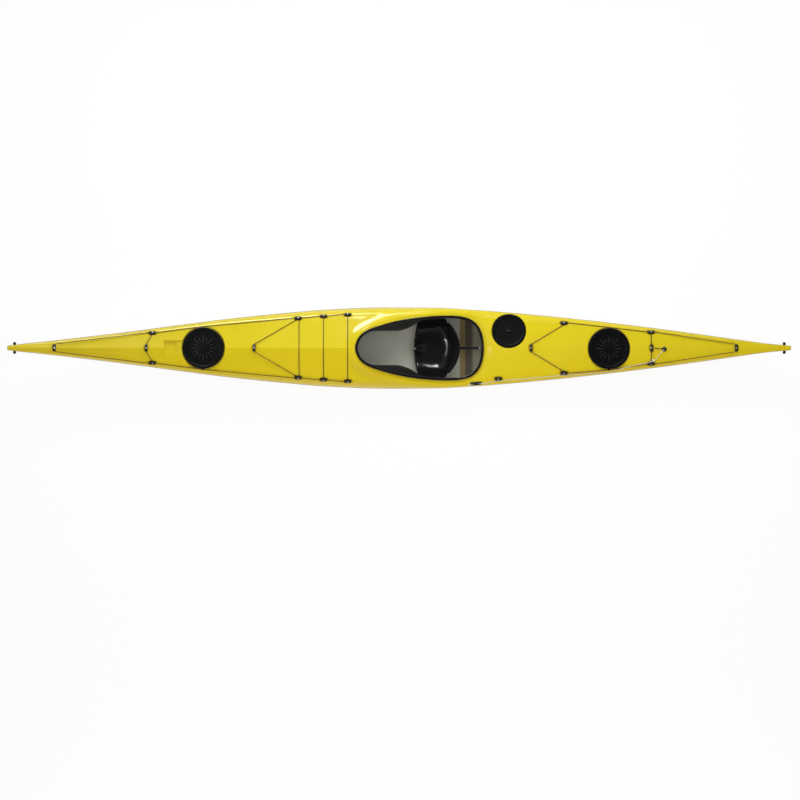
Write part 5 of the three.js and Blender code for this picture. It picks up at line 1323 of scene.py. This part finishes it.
fitting = fitting_block("fitting", FIT_LENGTH, FIT_WIDTH, FIT_HEIGHT, 0.0066)
carve(fitting, tunnel_tool(0.0034, 0.0031, TUNNEL, FIT_LENGTH, 1.22))
smooth(fitting, 35)
coat(fitting, plastic)
SCREW = [(0, 0.0022), (0.0015, 0.0022), (0.0030, 0.0018), (0.0042, 0.0010), (0.0047, 0.0002), (0.0047, -0.0006),
         (0, -0.0006)]
screw = turned("screw", SCREW, steps=32)
for turn in (0, math.pi / 2):
    slot_bar = box_between("slot", (-0.0021, -0.0004, 0.0011), (0.0021, 0.0004, 0.01))
    slot_bar.data.transform(Matrix.Rotation(turn, 4, "Z"))
    carve(screw, slot_bar)
smooth(screw, 35)
coat(screw, steel)
print("fitting:", len(fitting.data.polygons), "faces, its screw:", len(screw.data.polygons))

# %% [markdown]
# Each place on the deck gets its own copy of the fitting and of its screw, each with a mesh of its own.

# %% Fittings in their dishes
def stamped(name, master, matrix):
    """A copy of a master with its own mesh, moved there by a matrix."""
    piece = master.copy()
    piece.data = master.data.copy()
    piece.name = name
    piece.data.transform(matrix)
    bpy.context.scene.collection.objects.link(piece)
    return piece


FRAMES = {name: skin_frame(x, y, heading) for name, (x, y, heading) in FITTINGS.items()}
for name, frame_there in FRAMES.items():
    dress(stamped(name + "_moulding", fitting, frame_there), "boat", None, [name])
    top = frame_there @ Matrix.Translation((0, 0, FIT_HEIGHT - 0.0002))
    dress(stamped(name + "_screw", screw, top), "boat", None)
bpy.data.objects.remove(fitting)
bpy.data.objects.remove(screw)

# %% [markdown]
# ## Deck lines
# A perimeter line runs through the fittings on each end of the deck, and short bungees cross between them. The
# boat holds every one of them from end to end, so none is a free cord. A line is pulled straight from mouth to
# mouth and lies on the skin where the deck stands higher. Its tube carries a map that runs round and along it,
# for the braid.

# %% Routes over the deck
LINE, SKEG_LINE = 0.0025, 0.0020
LINE_RESTS = LINE * 1.12  # height of a line's middle over the skin that it lies on


def on_skin(x, y, lift):
    """A point at a height over the deck's skin."""
    return Vector((x, y, float(deck_at(x, y)) + lift))


def mouths(name, share=0.5):
    """Where a line enters and leaves a fitting's tunnel, with two points inside it."""
    return [FRAMES[name] @ Vector((end * FIT_LENGTH * share, 0, TUNNEL)) for end in (-1, -0.45, 0.45, 1)]


def taut(start, end, lift):
    """Points between two places: straight, but never lower than a line that lies on the skin."""
    count = max(2, int((end - start).length / 0.018))
    middle = [start.lerp(end, i / count) for i in range(1, count)]
    if not middle:
        return []
    skin = deck_at(np.array([p.x for p in middle]), np.array([p.y for p in middle])) + lift
    ease = [min(1.0, 2.5 * min(i, count - i) / count + 0.2) for i in range(1, count)]
    return [Vector((p.x, p.y, max(p.z, mix(p.z, float(z), e) if z < p.z else float(z))))
            for p, z, e in zip(middle, skin, ease)]


def evened(points, passes, count=None):
    """The same path in even steps, with its corners eased by a few passes of averaging."""
    points = np.array([tuple(p) for p in points])
    walked = np.r_[0, np.cumsum(np.linalg.norm(np.diff(points, axis=0), axis=1))]
    even = np.linspace(0, walked[-1], count or max(8, int(walked[-1] / 0.006)))
    path = np.stack([np.interp(even, walked, points[:, k]) for k in range(3)], axis=1)
    for _ in range(passes):
        path[1:-1] = 0.25 * path[:-2] + 0.5 * path[1:-1] + 0.25 * path[2:]
    return [Vector(p) for p in path]


def route(stops, lift=LINE_RESTS):
    """A whole route: each stop is a list of points that the line passes in order."""
    points = list(stops[0])
    for stop in stops[1:]:
        points += taut(points[-1], stop[0], lift) + list(stop)
    return evened(points, passes=3)


def line_of(name, points, radius=LINE, material=dark_cord_painted_bounce):
    piece = sweep(name + "_braid", points, round_section(radius, 10))
    coat(piece, material)
    smooth(piece, 60)
    length = sum((b - a).length for a, b in zip(points, points[1:]))
    print(f"{name}: {length:.2f} m long")
    return dress(piece, "boat", None, [name])


def past_hatch(name, side, out=0.006):
    x, y, _ = HATCHES[name]["place"]
    return [on_skin(x, y + side * (HATCHES[name]["radius"] + out), LINE_RESTS)]


print("a line's middle rests", round(LINE_RESTS * 1000, 1), "mm over the skin")

# %% [markdown]
# The fore line runs up one side, through the bow's fitting and down the other, past the front hatch. The aft
# line does the same round the stern.

# %% Perimeter lines
def fore_side(hand, side):
    first, *others = (mouths(f"{hand}_fitting_{number}") for number in (1, 2, 3, 4))
    return [first, past_hatch("front", side), *others]


port = [stop[::-1] for stop in fore_side("port", -1)][::-1]
fore_route = route(port + [mouths("bow_fitting")] + fore_side("starboard", 1))
line_of("fore_deck_line", fore_route)
aft_route = route([
    mouths("port_fitting_6"), past_hatch("rear", -1), mouths("port_fitting_7"),
    mouths("stern_fitting"), mouths("starboard_fitting_7")[::-1], past_hatch("rear", 1),
    mouths("starboard_fitting_6")[::-1]])
line_of("aft_deck_line", aft_route)

# %% [markdown]
# The bungees start at the inner side of one fitting and end at its partner, three of them by way of the eye of
# a fitting on the centre line. Each end sits in a small crimped sleeve.

# %% Bungees
SLEEVE_GAP = 0.0008  # between a fitting's side and the end of a bungee


def beside(name, along, gap):
    side = -math.copysign(1, FITTINGS[name][1])
    return [FRAMES[name] @ Vector((along, side * (FIT_WIDTH / 2 + gap), LINE * 1.5 + SLEEVE_GAP))]


def vee(number, centre, along):
    gap = SLEEVE_GAP + LINE * 0.8
    return route([beside(f"port_fitting_{number}", along, gap), mouths(centre),
                  beside(f"starboard_fitting_{number}", along, gap)])


def across(number, along):
    start = beside(f"port_fitting_{number}", along, SLEEVE_GAP)
    top = [on_skin(start[0].x, 0, LINE * 1.2)]
    return route([start, top, beside(f"starboard_fitting_{number}", along, SLEEVE_GAP)])


def aimed(place, direction):
    """A turn that stands an upright piece along a direction, at a place."""
    return Matrix.Translation(place) @ direction.to_track_quat("Z", "Y").to_matrix().to_4x4()


BUNGEES = {
    "fore_hatch_bungee": vee(1, "fore_centre_fitting_1", 0),
    "fore_vee_bungee": vee(2, "fore_centre_fitting_2", -FIT_WIDTH / 2),
    "fore_cross_bungee_1": across(2, FIT_WIDTH / 3),
    "fore_cross_bungee_2": across(3, 0),
    "fore_cross_bungee_3": across(4, 0),
    "aft_vee_bungee": vee(6, "aft_centre_fitting_1", 0),
    "aft_cross_bungee": vee(7, "aft_centre_fitting_2", 0)}
SLEEVE = [(0, 0), (0.0024, 0), (0.0036, 0.0004), (0.0040, 0.0015), (0.0037, 0.0035), (0.0040, 0.0055),
          (0.0037, 0.0080), (0.0030, 0.0090), (0.0024, 0.0092), (0, 0.0092)]
sleeves = []
for name, points in BUNGEES.items():
    line_of(name, points)
    for start, toward in ((points[0], points[3]), (points[-1], points[-4])):
        sleeves.append(turned("sleeve", SLEEVE, steps=20, turn=aimed(start, toward - start)))
sleeves = joined("bungee_sleeves", sleeves)
smooth(sleeves, 40)
dress(sleeves, "boat", [plastic])

# %% [markdown]
# ## Drop skeg
# The skeg is worked by a white line: from a cleat beside the cockpit it runs aft along the port edge, through
# a steel fairlead, and down a ringed hole in the deck to the blade. A short bungee keeps it in place.

# %% Cleat of the skeg line
CLEAT_FRAME = skin_frame(0.526, -0.2427, 0.06)
cleat = fitting_block("skeg_cleat_body", 0.080, 0.022, 0.012, 0.0028)
carve(cleat, box_between("jaw", (-0.09, -0.0023, 0.0042), (0.09, 0.0023, 0.03)))
modified(cleat, "BEVEL", width=0.0005, segments=2, limit_method="ANGLE", angle_limit=math.radians(50))
teeth = []
for i in range(9):
    for side in (-1, 1):
        tooth = box_between("tooth", (-0.0009, -0.0010, 0.0044), (0.0009, 0.0004, 0.0112))
        place = Matrix.Translation((-0.016 + i * 0.004, side * 0.0024, 0))
        tooth.data.transform(place @ Matrix.Rotation(side * 0.6, 4, "Z"))
        teeth.append(tooth)
cleat = joined("skeg_cleat_body", [cleat, *teeth])
cleat.data.transform(CLEAT_FRAME)
smooth(cleat, 35)
dress(cleat, "boat", [plastic], ["skeg_cleat"])

# %% [markdown]
# The fairlead is a steel eye on a turned post. The ring round the hole in the deck is turned as well, and held
# by two small screws.

# %% Fairlead and exit ring
LEAD_FRAME, RING_FRAME, LEAD_EYE = skin_frame(1.750, -0.086, 0.53), skin_frame(*SKEG_EXIT), 0.013
lead_ring = [(0.0026, -0.0030), (0.0030, -0.0040), (0.0044, -0.0046), (0.0056, -0.0034), (0.0056, 0.0034),
             (0.0044, 0.0046), (0.0030, 0.0040), (0.0026, 0.0030), (0.0026, -0.0030)]
across_lead = Matrix.Translation((0, 0, LEAD_EYE)) @ Matrix.Rotation(math.pi / 2, 4, "Y")
lead = turned("lead_ring", lead_ring, steps=40, turn=across_lead)
post = [(0, -0.003), (0.0085, -0.003), (0.0085, 0.0008), (0.0078, 0.0016), (0.0052, 0.0022), (0.0038, 0.0036),
        (0.0036, 0.0088), (0, 0.0088)]
lead = joined("skeg_fairlead_eye", [lead, turned("lead_post", post, steps=40)])
lead.data.transform(LEAD_FRAME)
smooth(lead, 35)
dress(lead, "boat", [steel], ["skeg_fairlead"])

exit_profile = [(0.0030, -0.003), (0.0168, -0.003), (0.0170, 0.0016), (0.0164, 0.0030), (0.0140, 0.0058),
                (0.0120, 0.0069), (0.0090, 0.0069), (0.0066, 0.0058), (0.0044, 0.0034), (0.0032, 0.0020),
                (0.0030, -0.003)]
exit_ring = turned("skeg_exit_bush", exit_profile, steps=64, turn=RING_FRAME)
smooth(exit_ring, 35)
exit_screws = []
for i in range(2):
    spot = Matrix.Rotation(math.pi / 2 + i * math.pi, 4, "Z") @ Matrix.Translation((0.0128, 0, 0.0062))
    exit_screws.append(turned("ring_screw", SCREW, steps=20, turn=RING_FRAME @ spot @ Matrix.Scale(0.6, 4)))
dress(exit_ring, "boat", [plastic], ["skeg_exit_ring"])
exit_screws = joined("skeg_exit_screws", exit_screws)
smooth(exit_screws, 35)
dress(exit_screws, "boat", [steel])

# %% [markdown]
# The line lies in the cleat's jaw, passes the fittings and the rear hatch on the skin, crosses over the aft deck
# line to the fairlead, and bends down into the ring.

# %% Skeg line
line_height = 0.0042 + SKEG_LINE + 0.0004
cleat_ends = [CLEAT_FRAME @ Vector((end * 0.048, 0, line_height)) for end in (-1, -0.5, 0.5, 1)]


def beside_line(name):
    x, y, _ = FITTINGS[name]
    y -= FIT_WIDTH / 2 + SKEG_LINE * 2.5
    return [on_skin(x, y, SKEG_LINE * 1.3)]


lead_ends = [LEAD_FRAME @ Vector((end * 0.012, 0, LEAD_EYE)) for end in (-1, 1)]
crossing = (past_hatch("rear", -1)[0] + mouths("port_fitting_7", 0.62)[0]) / 2
crossing = on_skin(crossing.x, crossing.y, LINE * 2.5 + SKEG_LINE * 3)
hole_top = float(deck_at(*SKEG_EXIT))
down = [Vector((1.8185, -0.0105, hole_top + 0.0098)), Vector((1.8222, -0.0085, hole_top + 0.0080)),
        Vector((*SKEG_EXIT, hole_top + 0.002)), Vector((*SKEG_EXIT, hole_top - 0.030))]
skeg_route = route([
    cleat_ends, beside_line("port_fitting_5"), beside_line("port_fitting_6"),
    past_hatch("rear", -1, 0.0204), [crossing], lead_ends, down], lift=SKEG_LINE * 1.15)
line_of("skeg_line", skeg_route, SKEG_LINE, white_cord)
start_x = FITTINGS["aft_centre_fitting_2"][0] + FIT_WIDTH / 2 + SLEEVE_GAP
end_x = SKEG_EXIT[0] - 0.017 - 0.0016
aside = Vector((0, -0.004, 0))
line_of("skeg_bungee", route([[on_skin(start_x, 0, LINE * 2)], [on_skin(end_x, 0, LINE * 2) + aside]]))
knot = turned("line_knot", [(0, -0.005), (0.0026, -0.0048), (0.0046, -0.003), (0.0050, 0), (0.0046, 0.003),
                            (0.0026, 0.0048), (0, 0.005)], steps=24)
knot.data.transform(Matrix.Translation(cleat_ends[0]) @ Matrix.Rotation(math.pi / 2, 4, "Y"))
smooth(knot, 60)
dress(knot, "boat", [white_cord])

# %% [markdown]
# Below the waterline the blade drops out of a slot in the keel. The blade is a flat foil with thinned edges,
# so its outline is filled, given a thickness and bevelled. The case inside the stern keeps its plain shape.

# %% Skeg blade and case
def bezier(start, control, end, steps):
    return [tuple((1 - t)**2 * a + 2 * (1 - t) * t * c + t * t * b for a, c, b in zip(start, control, end))
            for t in np.linspace(0, 1, steps, endpoint=False)]


PIVOT_X, PIVOT_Z, BLADE_LONG, BLADE_DEEP, SHOWN = 1.822, 0.074, 0.226, 0.092, 0.012
tail = PIVOT_X + BLADE_LONG
foot = float(keel(station_of(tail))) - SHOWN
blade_line = (
    bezier((PIVOT_X - 0.008, PIVOT_Z - 0.004),
           (PIVOT_X + BLADE_LONG * 0.3, float(keel(station_of(PIVOT_X))) + SHOWN / 2), (tail - SHOWN, foot), 24)
    + [(tail - 0.004, foot + 0.0008), (tail, foot + SHOWN / 2)]
    + bezier((tail, foot + SHOWN / 2), (tail - SHOWN / 2, foot + BLADE_DEEP * 0.7),
             (tail - BLADE_LONG * 0.22, foot + BLADE_DEEP), 20)[1:]
    + [(tail - BLADE_LONG * 0.22, foot + BLADE_DEEP), (PIVOT_X, PIVOT_Z + 0.0096)]
    + bezier((PIVOT_X, PIVOT_Z + 0.0096), (PIVOT_X - 0.0104, PIVOT_Z + 0.008), (PIVOT_X - 0.008, PIVOT_Z - 0.004),
             10)[1:])
blade = merged(loft("skeg_blade_foil", [[(x, y, z) for x, z in blade_line] for y in (-0.003, 0.003)], capped=True),
               1e-6)
carve(blade, cylinder("blade_eye", 0.004, -0.02, 0.02, sides=40, turn=laid_across(PIVOT_X, PIVOT_Z)))
modified(blade, "BEVEL", width=0.0018, segments=4, limit_method="ANGLE", angle_limit=math.radians(50))
smooth(blade, 30)
dress(blade, "skeg", [plastic], ["skeg_blade"])
carry("skeg_case", plastic)

# %% [markdown]
# ## Foot braces
# A rail is bolted inside each side of the hull, and a pedal slides along it. The rail and the pedal keep the
# rigid model's shapes, because hardly any light reaches them. The round bolt heads do show on the white sides,
# so each gets a domed cap of its own over the plain one.

# %% Foot braces and bolt heads
for hand in ("port", "starboard"):
    carry(f"{hand}_foot_rail", plastic)
    carry(f"{hand}_foot_pedal", plastic)
BOLT_DOME = [(0, 0.0040), (0.0030, 0.0038), (0.0055, 0.0030), (0.0070, 0.0018), (0.0076, 0.0006),
             (0.0076, -0.0010), (0, -0.0010)]
domes = []
for x, z in ((-0.8690, 0.1801), (-0.5190, 0.1580)):
    half = hull_half(station_of(x))
    for side in (-1, 1):
        y = float(np.interp(z, half[:, 1], half[:, 0]))
        domes.append(turned("dome", BOLT_DOME, steps=32, turn=aimed((x, side * y, z), Vector((0, side, 0)))))
domes = joined("rail_bolt_domes", domes)
smooth(domes, 40)
dress(domes, "boat", [plastic])

# %% [markdown]
# ## Toggles
# A toggle hangs from each stem on a loop of cord. The grip is turned from a profile with a waist and finger
# grooves, then laid across. The cord goes up from the grip, through the stem's hole and back down.

# %% Carrying toggles
DROP, GRIP_LONG, GRIP, WAIST, LOOP = 0.074, 0.080, 0.011, 0.86, 0.022


def toggle(name, x, z):
    """A grip and its cord loop, both riding on the toggle's body."""
    half = GRIP_LONG / 2
    rows = [(0, -half), (GRIP * 0.55, -half), (GRIP * 0.80, -half + 0.0012), (GRIP * 0.95, -half + 0.0042),
            (GRIP, -half * 0.82)]
    for y in np.linspace(-half * 0.72, half * 0.72, 73):
        waist = mix(WAIST, 0.985, fade(abs(y) / half * 1.2 - 0.1))
        groove = (0.5 - 0.5 * math.cos(y / half * 9 * math.pi)) * (abs(y) > 0.006)
        rows.append((GRIP * (waist - 0.045 * groove), y))
    rows += [(GRIP, half * 0.82), (GRIP * 0.95, half - 0.0042), (GRIP * 0.80, half - 0.0012), (GRIP * 0.55, half),
             (0, half)]
    grip = turned(name + "_handle", rows, steps=48)
    grip.data.transform(laid_across(x, z - DROP))
    smooth(grip, 40)
    dress(grip, name, [plastic], [name + "_grip"])
    low = z - DROP + GRIP * WAIST - 0.002
    half_loop = [(LINE * 1.4, low), (LINE * 1.6, mix(low, z, 0.12)), (LINE * 2.4, mix(low, z, 0.35)),
                 (LOOP * 0.62, mix(low, z, 0.58)), (LOOP * 0.9, mix(low, z, 0.75)), (LOOP, mix(low, z, 0.90)),
                 (LOOP * 0.93, mix(low, z, 0.975)), (LOOP * 0.70, z)]
    pins = [Vector((x, y, up)) for y, up in half_loop] + [Vector((x, 0, z))]
    pins += [Vector((x, -y, up)) for y, up in half_loop[::-1]]
    cord = sweep(name + "_loop", evened(pins, passes=10, count=90), round_section(LINE, 12), twist=(1, 0, 0))
    coat(cord, dark_cord_painted_bounce)
    smooth(cord, 60)
    dress(cord, name, None, [name + "_cord"])


for name, (x, z) in TOGGLE_HOLES.items():
    toggle(name, x, z)
